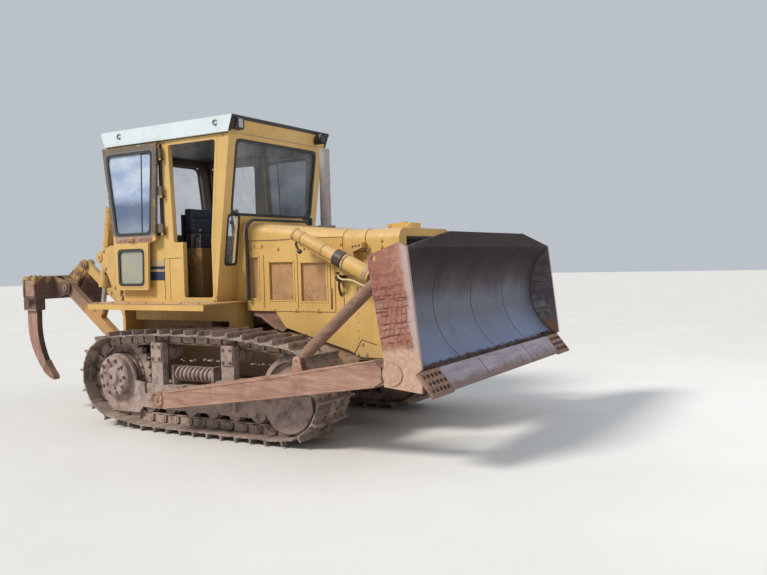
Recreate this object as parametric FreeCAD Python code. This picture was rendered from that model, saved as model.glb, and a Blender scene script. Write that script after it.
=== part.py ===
"""Crawler dozer with a straight blade, an open-door cab and a rear ripper.

Frame while modelling: +X forward, +Y left, +Z up, millimetres, ground at Z = 0.
write_parts() moves the whole machine so that the origin is under its middle.
Right-hand pieces are mirrored from left-hand ones, so most code is for +Y.
"""
import FreeCAD, Part
import math
import os

V = FreeCAD.Vector

# General clearances
SEAT_GAP = 0.3            # between a turning or seated piece and what carries it
PIN_GAP = 0.1             # all round a pin in its bore

# Track chain: wheels it runs round, links and shoes
GAUGE = 1900.0            # between the centre lines of the two tracks
SHOE_WIDTH = 508.0
SHOE_PLATE = 12.0
GROUSER_HEIGHT = 50.0
GROUSER_FOOT = 26.0
GROUSER_TIP = 14.0
GROUSER_SETBACK = 22.0    # from the shoe's leading edge to its grouser
SHOE_GAP = 4.0
LINK_PITCH_AIM = 175.0    # the chain takes the nearest pitch that closes
PIN_TO_SHOE = 47.0        # pin centre out to the underside of the shoe
PIN_TO_RAIL = 48.0        # pin centre in to the rail the rollers run on
RAIL_WIDTH = 45.0
RAIL_SPACING = 145.0      # between the middles of a link's two rails
SPROCKET_X = -1260.0
SPROCKET_Z = 507.0
SPROCKET_PITCH_RADIUS = 350.0
SPROCKET_TEETH = 25
SPROCKET_THICK = 52.0
TOOTH_TIP = 12.0          # tooth tips beyond the pitch circle
TOOTH_ROOT = -26.0
SPROCKET_HUB_RADIUS = 225.0
SPROCKET_HUB_REACH = 62.0     # outwards from the track's middle
SPROCKET_HUB_START = 20.0     # outwards from the final drive's face
SPROCKET_SHAFT_RADIUS = 72.0
IDLER_X = 910.0
IDLER_Z = 477.0
IDLER_PITCH_RADIUS = 361.0
IDLER_FLANGE = 22.0
IDLER_FLANGE_PLAY = 8.0
IDLER_RIM = 42.0
IDLER_DISH = 45.0
IDLER_HUB_RADIUS = 92.0
IDLER_AXLE_RADIUS = 42.0
ROLLER_RADIUS = 85.0
ROLLER_FLANGE = 14.0
ROLLER_FLANGE_THICK = 14.0
ROLLER_FLANGE_PLAY = 5.0
ROLLER_WAIST = 22.0           # how much slimmer than its treads
ROLLER_SHAFT_RADIUS = 24.0
ROLLER_FIRST_X = -860.0
ROLLER_LAST_X = 535.0
ROLLER_COUNT = 6
CARRIER_RADIUS = 75.0
CARRIER_X = (-648.0, 262.0)
CARRIER_PIN_Z = 898.0     # height of the chain's pins over the carrier rollers
CARRIER_INNER_REACH = 95.0

# Track frame
FRAME_OUTER = 1090.0      # outer face of the frame's beam
FRAME_INNER = 812.0
FRAME_BOTTOM = 262.0
FRAME_TOP = 452.0
FRAME_PLATE = 28.0
FRAME_BEAM_X = (-850.0, 545.0)
HUB_COVER_RADIUS = 205.0
HUB_COVER_FACE = 1150.0
POST_WIDTH = 152.0
POST_REARWARD = 57.0      # from a carrier roller back to the rear face of its post
POST_TOP = 868.0
POST_OUTER = 1150.0
SPRING_X = (-490.0, 0.0)
SPRING_Z = 562.0
SPRING_RADIUS = 76.0
SPRING_WIRE = 30.0
SPRING_SINK = 5.0         # how far the core reaches into the rings
SPRING_COILS = 8
SPRING_Y = 985.0
YOKE_PLATE = 30.0
YOKE_MARGIN = 10.0
FRAME_SINK = 2.0              # how far welded plates reach into what carries them
BEAM_OVER_ROLLERS = 8.0
SIDE_PLATE_DROP = 30.0        # below the rollers' axles
SIDE_PLATE_REARWARD = 60.0
IDLER_BLOCK_HALF = 110.0
IDLER_BLOCK_TOP = 78.0
PIVOT_PLATE_HALF = 92.0
PIVOT_PLATE_FRONT = 95.0
TRUNNION_SHORT = 14.0         # trunnion's end inside the push arm's outer face
RECOIL_HOUSING_FRONT_X = 540.0
RECOIL_HOUSING_TOP_Z = 522.0
RECOIL_HOUSING_Y = (824.0, 1056.0)
HUB_GUARD_REAR = (-262.0, -92.0)       # these three from the sprocket's centre
HUB_GUARD_CORNER = (-158.0, -290.0)
HUB_GUARD_BOTTOM = (-10.0, -362.0)
HUB_GUARD_RISE = 225.0
HUB_GUARD_FOOT = (-966.0, 152.0)
HUB_GUARD_FRONT_X = -880.0
HUB_GUARD_SHOULDER = (-1010.0, 472.0)
IDLER_GUARD_REAR_X = 480.0
IDLER_GUARD_NECK_X = 658.0
IDLER_GUARD_FOOT = (742.0, 152.0)
IDLER_GUARD_BOTTOM = (960.0, 110.0)
IDLER_GUARD_FRONT = (1188.0, 330.0)
IDLER_GUARD_TOP_X = 1170.0

# Hull: belly, rear case, engine and radiator
HULL_HALF = 450.0
BELLY_Z = 480.0
BELLY_PLATE = 20.0
RAIL_BOX_INNER = 330.0
RAIL_BOX_Z = (700.0, 930.0)
CASE_X = (-1580.0, -560.0)
CASE_TOP = 1150.0
CASE_ROUNDING = (200.0, 120.0)
DRIVE_CLEARANCE = 4.0
TAIL_RADIUS = 330.0
TAIL_LIFT = 150.0
DRAWBAR_HALF = 70.0
DRAWBAR_LENGTH = 150.0
DRAWBAR_Z = (510.0, 590.0)
DRAWBAR_HOLE_RADIUS = 21.0
DRAWBAR_HOLE_BACK = 95.0      # behind the case
FINAL_DRIVE_RADIUS = 300.0
FINAL_DRIVE_OUTER = 730.0
FINAL_DRIVE_STEP = (90.0, 55.0)   # outer end's length and how much slimmer it is
FRONT_BEAM_X = 1590.0
FRONT_BEAM_DEPTH = 60.0
BELLY_RAMP = 330.0
BELLY_RAMP_THICK = 30.0
RAIL_OVERLAP = 10.0
ENGINE_X = (180.0, 1200.0)
ENGINE_HALF = 250.0
ENGINE_Z = (620.0, 1600.0)
HEAD_HEIGHT = 150.0
HEAD_Y = (-150.0, 310.0)
HEAD_INSET = (60.0, 90.0)
SUMP_HEIGHT = 130.0
SUMP_HALF = 170.0
SUMP_INSET = (80.0, 160.0)
ENGINE_FOOT_X = (360.0, 480.0)
ENGINE_FOOT_HEIGHT = 40.0
ENGINE_FOOT_REACH = 60.0
FAN_Z = 1370.0
FAN_RADIUS = 330.0
FAN_GAP = 50.0                # fan to the radiator
FAN_THICK = 40.0
FAN_SHAFT_RADIUS = 40.0
CORE_INSET = 20.0
TOP_TANK = 110.0
BOTTOM_TANK = 80.0
RADIATOR_X = (1430.0, 1560.0)
RADIATOR_HALF = 410.0
RADIATOR_Z = (980.0, 1820.0)
EQUALIZER_X = 575.0
EQUALIZER_Z = 330.0
EQUALIZER_HALF = 75.0
EQUALIZER_HEIGHT = 110.0
SADDLE_HALF = (110.0, 120.0)
SADDLE_SINK = 50.0
PIVOT_SHAFT_X = -680.0
PIVOT_SHAFT_Z = 400.0
PIVOT_SHAFT_RADIUS = 48.0
PIVOT_BLOCK_HALF = 80.0

# Hood, engine sides and nose
NOSE_HALF = 500.0
SHEET = 8.0               # hood sheet
SIDE_SHEET = 30.0         # engine side frame, panels recessed in it
HOOD_REAR_X = 36.0
HOOD_REAR_Z = 2020.0
NOSE_X = (1150.0, 1750.0)
NOSE_TOP = 1905.0
HOOD_CORNER = 100.0
HOOD_EDGE_Z = 1845.0      # where the hood meets the engine sides
SIDE_BOTTOM = 1144.0
SIDE_REAR_X = -20.0
NOSE_BOTTOM = 734.0
NOSE_PLATE = 22.0
CHEEK_SLANT = (
    # x, z of the cheek plate's lower edge, from its rear end to the nose
    (330.0, 1144.0),
    (460.0, 985.0),
    (760.0, 905.0),
    (1180.0, 794.0),
    (1330.0, 734.0),
)
NOSE_SKIRT = 160.0            # depth of the hood's arch over the nose
NOSE_FOOT_X = (1330.0, 1570.0)
NOSE_FOOT_Z = (760.0, 930.0)
GRILLE_RIM = 22.0
HOOD_SKIRT = 60.0
STACK_HOLE_PLAY = 12.0
STACK_FLOOR = 40.0
VENT_RECESS = 18.0
GRILLE_HALF = 370.0
GRILLE_Z = (940.0, 1830.0)
GRILLE_BAR = 12.0
GRILLE_BARS = 15
VENTS = (
    # rear x, front x, bottom z, top z of each perforated panel
    (5.0, 133.0, 1272.0, 1675.0),
    (275.0, 566.0, 1256.0, 1622.0),
    (660.0, 952.0, 1246.0, 1610.0),
)
VENT_SHEET = 6.0
STACK_X = 440.0
STACK_Y = 250.0
STACK_RADIUS = 56.0
STACK_WALL = 4.0
STACK_TOP = 2790.0
CAP_BOX_X = (1390.0, 1650.0)
CAP_BOX_HALF = 95.0
CAP_BOX_TOP = 1962.0

# Platform and cab
PLATFORM_REAR_X = -1640.0
PLATFORM_HALF = 1128.0
PLATFORM_TOP = 1247.0
PLATFORM_PLATE = 12.0
FENDER_LIP = 52.0
PEDESTAL_Y = (455.0, 600.0)
PEDESTAL_X = (-1520.0, -570.0)
PEDESTAL_SEAT = 60.0
PLATFORM_SIDE = (14.0, 1040.0)    # thickness and lower edge
RAIL_LEG_X = (-180.3, -80.3)
RAIL_LEG_INNER = 350.0
CAB_HALF = 766.0
CAB_WALL = 50.0
CAB_REAR_X = (-1500.0, -1710.0)      # at the platform, at the roof
CAB_FRONT_X = (-185.0, 50.0)         # at the platform, at the roof
ROOF_TOP = 3049.0
ROOF_HEIGHT = 158.0
CAB_TOP = ROOF_TOP - ROOF_HEIGHT
ROOF_X = (-1738.0, 122.0)
ROOF_HALF = CAB_HALF + 34.0
ROOF_SLANT = 58.0         # how far the ends lean outwards
ROOF_SHEET = 14.0
ROOF_RIM = 20.0           # roof edge inside the cab's walls
DOOR_OPENING_TOP_X = (-776.0, -137.0)
DOOR_OPENING_STEP_Z = 1850.0
DOOR_OPENING_STEP_X = -735.0
DOOR_OPENING_LOW_X = (-610.0, -228.0)
DOOR_OPENING_Z = (1290.0, CAB_TOP - 56.0)
WINDOW_TOP = CAB_TOP - 101.0
REAR_SIDE_WINDOW = ((-1610.0, WINDOW_TOP), (-900.0, WINDOW_TOP), (-900.0, 1935.0), (-1515.0, 1935.0))
GLASS = 6.0
SCREEN_HALF = CAB_HALF - 111.0
SCREEN_Z = (2105.0, CAB_TOP - 56.0)
QUARTER_Y = (CAB_HALF - 241.0, CAB_HALF - 76.0)
QUARTER_Z = (1610.0, 2105.0)
REAR_WINDOW_HALF = CAB_HALF - 166.0
REAR_WINDOW_Z = (1950.0, WINDOW_TOP)
COWL_RIM = 32.0           # how far the rim round the hood's rear end stands out
COWL_DEPTH = 160.0
COWL_INSET = 20.0

# Roof lamps: a square one on the right, a round one on the left
SQUARE_LAMP_Y = (45.0, 140.0)     # inwards from the roof's edge
SQUARE_LAMP_Z = (20.0, 135.0)     # above the roof's underside
SQUARE_LAMP_DEPTH = 22.0
ROUND_LAMP_Y = CAB_HALF - 156.0
ROUND_LAMP_Z = 74.0
ROUND_LAMP_DEPTH = 60.0
ROUND_LAMP_RADIUS = 56.0
LAMP_SINK = 30.0

# Doors: flat panels hung on vertical pins behind the door openings
DOOR_HINGE_X = -850.0
DOOR_HINGE_Y = CAB_HALF + 40.0
DOOR_THICK = 28.0
DOOR_GAP = 6.0            # door to the cab side when it is shut
DOOR_OUTLINE = (
    # x, z of the shut door's corners, clockwise from the top rear
    (-832.0, CAB_TOP - 23.0),
    (-22.0, CAB_TOP - 23.0),
    (-150.0, 1905.0),
    (-172.0, 1368.0),
    (-648.0, 1368.0),
    (-668.0, 1850.0),
    (-775.0, 1880.0),
)
DOOR_WINDOW_UPPER = ((-768.0, WINDOW_TOP), (-82.0, WINDOW_TOP), (-196.0, 1945.0), (-708.0, 1945.0))
DOOR_WINDOW_LOWER = ((-602.0, 1790.0), (-218.0, 1790.0), (-218.0, 1420.0), (-588.0, 1420.0))
HINGE_PIN = 9.0
HINGE_KNUCKLE = 13.0
HINGE_SINK = 4.0
HINGE_EDGE = 6.0
HINGE_SHELF = 26.0
HINGE_SHELF_X = (-12.0, 10.0)     # from the hinge line
HINGE_Z = (2000.0, 2380.0, CAB_TOP - 131.0)
HINGE_HEIGHT = 90.0
HINGE_LEAF = 96.0         # hinge line to the leaf's end on the door

# Seat and controls
SEAT_X = (-1130.0, -640.0)
SEAT_HALF = 250.0
SEAT_Z = (1600.0, 1730.0)
BACKREST_TOP = 2260.0
SEAT_PAN = 40.0
SEAT_BACK = (40.0, 10.0)          # back frame's rear and front face, behind the pan
SEAT_BACK_DROP = 90.0
SEAT_BACK_INSET = 20.0
PEDESTAL_INSET = 60.0
PEDESTAL_HALF = 190.0
CUSHION_SETBACK = 130.0
BACKREST_FRONT = 115.0
DASH_X = (-400.0, -310.0)
DASH_TOP_X = (-420.0, -230.0)
DASH_HALF = 330.0
DASH_Z = (1860.0, 1900.0)
LEVER_RADIUS = 11.0
KNOB_RADIUS = 24.0
LEVERS = (
    # foot x, y, foot z, lean along x, knob z
    (-360.0, -260.0, 1880.0, -50.0, 2140.0),
    (-360.0, -190.0, 1880.0, -40.0, 2170.0),
    (-360.0, 240.0, 1880.0, -60.0, 2120.0),
)
CONSOLE_X = (-1120.0, -560.0)
CONSOLE_Y = (-560.0, -400.0)
CONSOLE_TOP = 1790.0
CONSOLE_LEVER_X = (-700.0, -780.0)
CONSOLE_LEVER = (10.0, 20.0, 1930.0)      # radius, lean along x, top z

# Blade
TRACK_OUTER = GAUGE / 2 + SHOE_WIDTH / 2
ARM_INNER = TRACK_OUTER + 36.0
ARM_OUTER = ARM_INNER + 136.0
BLADE_HALF = ARM_OUTER + 166.0
END_PLATE = 25.0
MOLDBOARD_PLATE = 26.0
WELD_DEPTH = 8.0          # stiffeners and lugs stop this far behind the face
FACE_BOTTOM = (2478.0, 792.0)
FACE_MIDDLE = (2196.0, 1240.0)
FACE_TOP = (2404.0, 1712.0)
BLADE_CENTRE_TOP = 1840.0
BLADE_SHOULDER = 800.0    # half length of the raised middle of the top edge
CREST_CUT = 60.0
LOWER_BEAM = ((2196.0, 676.0), (2360.0, 660.0), (2520.0, 712.0), (2490.0, 905.0), (2196.0, 905.0))
MIDDLE_BEAM = ((2136.0, 1165.0), (2300.0, 1165.0), (2300.0, 1315.0), (2136.0, 1315.0))
UPPER_BEAM = ((2240.0, 1600.0), (2340.0, 1600.0), (2380.0, 1690.0), (2270.0, 1690.0))
END_PLATE_OUTLINE = (
    # x, z, from the top rear corner round to the bottom rear
    (2066.0, 1658.0),
    (2337.0, 1749.0),
    (2404.0, 1712.0),
    (2516.0, 745.0),
    (2507.0, 640.0),
    (2186.0, 672.0),
    (2188.0, 880.0),
    (2077.0, 1541.0),
)
LIFTING_EYE = (2118.0, 1632.0)
LIFTING_EYE_RADIUS = 24.0
EDGE_TIP = (2605.0, 630.0)
EDGE_THICK = 22.0
EDGE_WIDTH = 205.0
END_BIT_LENGTH = 330.0
END_BIT_EXTRA = (14.0, 8.0)        # wider and longer than the middle edge
EDGE_BED = (60.0, 90.0)            # clearance cut below and in front of the edge

# Push arms and their pivots
ARM_PIVOT = (-400.0, 370.0)
ARM_REAR = ((-330.0, 284.0), (-330.0, 450.0))      # lower and upper corner
ARM_FRONT = ((2010.0, 632.0), (2010.0, 842.0))
ARM_NOSE = ((2072.0, 668.0), (2072.0, 792.0))
ARM_NECK = ((-300.0, 292.0), (-300.0, 444.0))
NECK_HALF = 62.0
SOCKET_SHORT = 22.0
TONGUE_ROOT = ((2000.0, 690.0), (2000.0, 800.0))
TONGUE_RADIUS = 78.0
TONGUE_INSET = (14.0, 6.0)
ARM_SOCKET = 72.0
TRUNNION_RADIUS = 38.0
FRONT_PIN = (2262.0, 770.0)
FRONT_PIN_RADIUS = 45.0
FRONT_PIN_CAP = 85.0
CAP_THICK = 8.0
FRONT_LUG_RADIUS = 92.0
FRONT_LUG_PLATE = (24.0, 30.0)            # inner and outer lug
FRONT_LUG_OUTLINE = ((2202.0, 700.0), (2330.0, 672.0), (2330.0, 890.0), (2202.0, 850.0))
LUG_CLEARANCE = 6.0
INNER_LUG_PLAY = 4.0
LUG_SPREAD = 1.5                          # how much taller a lug is at its root
TONGUE_CLEARANCE = (1900.0, 18.0, 640.0)  # rear x, beyond the tongue, lowest z
BRACE_LOW = (1225.0, 800.0)
BRACE_HIGH = (2105.0, 1539.0)
BRACE_RADIUS = 50.0
BRACE_SCREW = 21.0
BRACE_Y = (ARM_INNER + ARM_OUTER) / 2
BRACE_PIN = 18.0
BRACE_EYES = (38.0, 42.0)                 # radius at the foot and at the head
BRACE_EYE_HALF = 24.0
BRACE_SCREW_SPAN = (75.0, 130.0, 60.0)   # nut's start and end from the foot; screw at the head
BRACE_NUT_STEP = 6.0
BRACE_LUG = 20.0
BRACE_LUG_GAP = 52.0
BRACE_LUG_RADIUS = (40.0, 46.0)
BRACE_LUG_FOOT = ((-70.0, 640.0), (80.0, 640.0))
BRACE_LUG_HALF = 34.0

# Lift cylinders
LIFT_TRUNNION = (1220.0, 1640.0)
LIFT_EYE = (2050.0, 1235.0)
LIFT_Y = 660.0
LIFT_BARREL = 58.0
LIFT_BORE = 48.0
LIFT_HEAD = 75.0
LIFT_REACH_BACK = 560.0   # barrel behind its trunnion
LIFT_HEAD_SPAN = (60.0, 370.0)
LIFT_ROD = 30.0
LIFT_ROD_LENGTH = 1240.0
LIFT_EYE_RADIUS = 55.0
LIFT_EYE_WIDTH = 56.0
LIFT_EAR_GAP = 72.0
EAR_PLATE = 26.0
LIFT_PIN = 36.0
LIFT_BRACKET = 85.0
LIFT_COLLAR_HALF = 42.0
LIFT_SHOULDER = (4.0, 14.0)        # off the bracket, and round the pin
LIFT_PIN_INSET = 12.0
LIFT_END_WALL = 18.0
LIFT_GLAND = 40.0
LIFT_PISTON = 50.0
LIFT_EAR_RADIUS = 78.0
OIL_PIPE = (13.0, 14.0, 70.0, 60.0)    # radius, drop below the barrel, rear end, reach past the pin
OIL_STUB = (15.0, 20.0, 80.0)          # radius, drop, from the barrel's rear end
BRACKET_OUTLINE = (
    # x, z from the trunnion
    (-95.0, -150.0), (120.0, -150.0), (95.0, 60.0), (190.0, 95.0),
    (190.0, 140.0), (40.0, 120.0), (-70.0, 60.0),
)
BRACKET_HOLE = (92.0, 104.0, 34.0, 5.0, 10.0)  # first x, first z, step x, step z, radius
BRACKET_BOSS = 34.0
SLIDE_PLAY = 0.5                   # between rod and gland, and piston and bore

# Ripper: parallel links, beam, shank and two cylinders
LOWER_PIVOT = (-1800.0, 800.0)
LOWER_END = (-2600.0, 1390.0)
UPPER_OFFSET = (90.0, 260.0)         # from a lower pin to the upper pin above it
LOWER_LINK_Y = (560.0, 640.0)
UPPER_LINK_Y = (395.0, 455.0)
LINK_HALF = 62.0
UPPER_LINK_HALF = 50.0
LINK_PIN = 32.0
BEAM_X = (-3017.0, -2790.0)
BEAM_Z = (1267.0, 1523.0)
BEAM_HALF = 912.0
SHANK_Y = -800.0
SHANK_THICK = 68.0
SHANK_TOP_X = (-3072.0, -2900.0)
POCKET_WALL = 26.0
POCKET_BOTTOM = 1138.0
RIP_TRUNNION = (-1950.0, 1720.0)
RIP_EYE = (-2046.0, 1168.0)
RIP_Y = 600.0
RIP_BARREL = 58.0
RIP_BORE = 46.0
RIP_REACH_UP = 555.0
RIP_REACH_DOWN = 330.0
RIP_ROD = 28.0
RIP_ROD_LENGTH = 930.0
RIP_EYE_RADIUS = 42.0
RIP_EYE_WIDTH = 44.0
RIP_EAR_GAP = 58.0
RIP_EAR = 11.0
RIP_EAR_FOOT = (-60.0, -130.0)     # from the rod's eye
RIP_EAR_HALF = 52.0
RIP_CAP = (40.0, 7.0)              # length and how far it stands out
RIP_GLAND_RING = (60.0, 6.0)
RIP_END_WALL = 20.0
RIP_GLAND = 40.0
RIP_PISTON = 45.0
RIP_PIN_REACH = 42.0
CHEEK_PLAY = 6.0                   # between a link and the cheek beside it
CHEEK = 24.0
LOWER_BOSS = 74.0
UPPER_BOSS = 60.0
BEAM_BOSS = 76.0
TOWER_BOSS = 62.0
BRACKET_PLATE = 40.0
BRACKET_SIDE = 95.0
BRACKET_Z = (720.0, 1210.0)
BRACKET_WINDOW = (410.0, 860.0, 1090.0)    # half width, low z, top z
FLANK_ROOT = (20.0, 25.0)
TOWER_PLATE = 24.0
TOWER_GAP = 18.0
TOWER_TOP = 1850.0
TOWER_FOOT = (60.0, 1090.0)
TOWER_ELBOW = (250.0, 190.0)
TOWER_HEAD = (190.0, 60.0)
TOWER_STEP = (1307.0, 1157.0)
CAB_CLEARANCE_Z = (1190.0, 1252.0)     # keeps the towers off the platform's tail
TIE_X = (100.0, 62.0)
TIE_Z = (1447.0, 1790.0)
SHANK_OUTLINE = (
    # x, z: back of the shank (arc of three points), its tip, then its front (arc of three points)
    (-3072.0, 1060.0), (-3002.0, 690.0), (-2800.0, 428.0), (-2652.0, 352.0),
    (-2652.0, 392.0), (-2735.0, 490.0), (-2852.0, 700.0), (-2900.0, 1060.0),
)


def box(x, y, z):
    """Box from (low, high) pairs along the three axes."""
    return Part.makeBox(x[1] - x[0], y[1] - y[0], z[1] - z[0], V(x[0], y[0], z[0]))


def rod(start, end, radius):
    """Round bar between two points."""
    axis = end - start
    return Part.makeCylinder(radius, axis.Length, start, axis)


def disc(centre, radius, y):
    """Round piece about a crosswise axis at (x, z), over the pair y."""
    return Part.makeCylinder(radius, y[1] - y[0], V(centre[0], y[0], centre[1]), V(0, 1, 0))


def prism(outline, y):
    """Side outline of (x, z) corners, as thick as the pair y."""
    points = [V(px, y[0], pz) for px, pz in outline]
    face = Part.Face(Part.makePolygon(points + points[:1]))
    return face.extrude(V(0, y[1] - y[0], 0))


def front_prism(outline, x):
    """Outline of (y, z) corners seen from the front, over the pair x."""
    points = [V(x[0], py, pz) for py, pz in outline]
    face = Part.Face(Part.makePolygon(points + points[:1]))
    return face.extrude(V(x[1] - x[0], 0, 0))


def edges_prism(edges, y):
    """Side outline given as lines and arcs, as thick as the pair y."""
    solid = Part.Face(Part.Wire(edges)).extrude(V(0, y[1] - y[0], 0))
    solid.translate(V(0, y[0], 0))
    return solid


def line(a, b):
    return Part.LineSegment(V(a[0], 0, a[1]), V(b[0], 0, b[1])).toShape()


def arc(a, middle, b):
    return Part.Arc(V(a[0], 0, a[1]), V(middle[0], 0, middle[1]), V(b[0], 0, b[1])).toShape()


def fuse(pieces):
    solid = pieces[0].multiFuse(pieces[1:]) if len(pieces) > 1 else pieces[0]
    return solid.removeSplitter()


def cut(solid, tools):
    for tool in tools:
        solid = solid.cut(tool)
    return solid


def mirrored(solid):
    return solid.mirror(V(0, 0, 0), V(0, 1, 0))


def pair(solid):
    """The left-hand piece and its right-hand twin."""
    return [solid, mirrored(solid)]


def along(start, end, distance):
    """Point on the line from start to end, at a distance from start."""
    length = math.hypot(end[0] - start[0], end[1] - start[1])
    share = distance / length
    return (start[0] + (end[0] - start[0]) * share, start[1] + (end[1] - start[1]) * share)


def offset_line(a, b, side):
    """The ends of a line moved sideways, to its left when side is positive."""
    length = math.hypot(b[0] - a[0], b[1] - a[1])
    nx = -(b[1] - a[1]) / length * side
    nz = (b[0] - a[0]) / length * side
    return (a[0] + nx, a[1] + nz), (b[0] + nx, b[1] + nz)


def link_plate(a, b, half, y):
    """Bar with round ends about two crosswise pins."""
    a_left, b_left = offset_line(a, b, half)
    a_right, b_right = offset_line(a, b, -half)
    body = prism([a_right, b_right, b_left, a_left], y)
    return fuse([body, disc(a, half, y), disc(b, half, y)])


# Track chain


def shoe_reach():
    """From the chain's pins out to the grousers' tips."""
    return PIN_TO_SHOE + SHOE_PLATE + GROUSER_HEIGHT


def belt_wheels():
    """Circles (x, z, radius) that the chain's pin line is pulled round, seen from the right."""
    bottom = shoe_reach() + ROLLER_RADIUS + PIN_TO_RAIL
    round_roller = ROLLER_RADIUS + PIN_TO_RAIL
    round_carrier = CARRIER_RADIUS + PIN_TO_RAIL
    carrier_z = CARRIER_PIN_Z - round_carrier
    return (
        (ROLLER_FIRST_X, bottom, round_roller),
        (ROLLER_LAST_X, bottom, round_roller),
        (IDLER_X, IDLER_Z, IDLER_PITCH_RADIUS),
        (CARRIER_X[1], carrier_z, round_carrier),
        (CARRIER_X[0], carrier_z, round_carrier),
        (SPROCKET_X, SPROCKET_Z, SPROCKET_PITCH_RADIUS),
    )


def belt_pieces():
    """Straights and arcs of the pin line: (length, function of the distance along it)."""
    wheels = belt_wheels()
    count = len(wheels)
    normals = []
    for i, (x0, z0, r0) in enumerate(wheels):
        x1, z1, r1 = wheels[(i + 1) % count]
        heading = math.atan2(z1 - z0, x1 - x0)
        normals.append(heading - math.acos((r0 - r1) / math.hypot(x1 - x0, z1 - z0)))
    pieces = []
    for i, (x0, z0, r0) in enumerate(wheels):
        x1, z1, r1 = wheels[(i + 1) % count]
        out = normals[i]
        start = (x0 + r0 * math.cos(out), z0 + r0 * math.sin(out))
        end = (x1 + r1 * math.cos(out), z1 + r1 * math.sin(out))
        length = math.hypot(end[0] - start[0], end[1] - start[1])
        pieces.append((length, lambda s, a=start, b=end: along(a, b, s)))
        turn = (normals[(i + 1) % count] - out) % (2 * math.pi)
        pieces.append((r1 * turn, lambda s, x=x1, z=z1, r=r1, t=out: (
            x + r * math.cos(t + s / r), z + r * math.sin(t + s / r))))
    return pieces


def chain_pins():
    """The chain's pins, evenly spaced along the pin line."""
    pieces = belt_pieces()
    total = sum(length for length, _ in pieces)
    count = round(total / LINK_PITCH_AIM)
    pins = []
    for i in range(count):
        distance = total * i / count
        for length, place in pieces:
            if distance <= length:
                pins.append(place(distance))
                break
            distance -= length
    return pins


def link_frames(pins):
    """For each link: its first pin, its direction, its outward normal and its length."""
    frames = []
    for a, b in zip(pins, pins[1:] + pins[:1]):
        length = math.hypot(b[0] - a[0], b[1] - a[1])
        t = ((b[0] - a[0]) / length, (b[1] - a[1]) / length)
        frames.append((a, t, (t[1], -t[0]), length))
    return frames


def mitred_loop(frames, offset):
    """Closed outline parallel to the links, offset outwards, with mitred corners."""
    corners = []
    for (_, _, n0, _), (pin, _, n1, _) in zip(frames[-1:] + frames[:-1], frames):
        bisector = (n0[0] + n1[0], n0[1] + n1[1])
        scale = 2 * offset / (bisector[0] ** 2 + bisector[1] ** 2)
        corners.append((pin[0] + bisector[0] * scale, pin[1] + bisector[1] * scale))
    return corners


def shoe_outline(frames):
    """Outer outline of all the shoes: plate, grouser, plate, then the gap to the next."""
    plate = PIN_TO_SHOE + SHOE_PLATE
    tip = plate + GROUSER_HEIGHT
    slope = (GROUSER_FOOT - GROUSER_TIP) / 2
    corners = []
    for pin, t, n, length in frames:
        foot = GROUSER_SETBACK
        for along_link, out in (
            (SHOE_GAP, plate),
            (foot, plate),
            (foot + slope, tip),
            (foot + GROUSER_FOOT - slope, tip),
            (foot + GROUSER_FOOT, plate),
            (length - SHOE_GAP, plate),
        ):
            corners.append((
                pin[0] + t[0] * along_link + n[0] * out,
                pin[1] + t[1] * along_link + n[1] * out))
    return corners


def rail_rings(y_middle):
    """Low and high y of the two rails of a chain centred on y_middle."""
    for side in (-1, 1):
        middle = y_middle + side * RAIL_SPACING / 2
        yield (middle - RAIL_WIDTH / 2, middle + RAIL_WIDTH / 2)


def track():
    """Left-hand track: one fixed loop of links and shoes."""
    frames = link_frames(chain_pins())
    middle = GAUGE / 2
    shoe_y = (middle - SHOE_WIDTH / 2, middle + SHOE_WIDTH / 2)
    inside = mitred_loop(frames, PIN_TO_SHOE)
    rail = mitred_loop(frames, -PIN_TO_RAIL)
    pieces = [prism(shoe_outline(frames), shoe_y).cut(prism(inside, shoe_y))]
    for rail_y in rail_rings(middle):
        pieces.append(prism(inside, rail_y).cut(prism(rail, rail_y)))
    return fuse(pieces)


def wheel_seat(frames, x, z_guess):
    """Largest radius about (x, z_guess) that keeps a seat gap to the chain's rails."""
    reach = min((x - pin[0]) * -n[0] + (z_guess - pin[1]) * -n[1] for pin, _, n, _ in frames)
    return reach - PIN_TO_RAIL - SEAT_GAP


def carrier_place(frames, x):
    """Height at which a carrier roller just reaches the rails above it."""
    need = CARRIER_RADIUS + PIN_TO_RAIL + SEAT_GAP
    return min(pin[1] - (need + (x - pin[0]) * n[0]) / n[1] for pin, _, n, _ in frames if n[1] > 0.5)


def roller_place(frames, x):
    """Height at which a bottom roller just reaches the rails below it."""
    need = ROLLER_RADIUS + PIN_TO_RAIL + SEAT_GAP
    return max(pin[1] - (need + (x - pin[0]) * n[0]) / n[1] for pin, _, n, _ in frames if n[1] < -0.5)


def roller_height():
    return shoe_reach() + PIN_TO_RAIL + ROLLER_RADIUS + SEAT_GAP


def roller_stations():
    step = (ROLLER_LAST_X - ROLLER_FIRST_X) / (ROLLER_COUNT - 1)
    return [ROLLER_FIRST_X + step * i for i in range(ROLLER_COUNT)]


# Running gear inside the track


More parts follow.
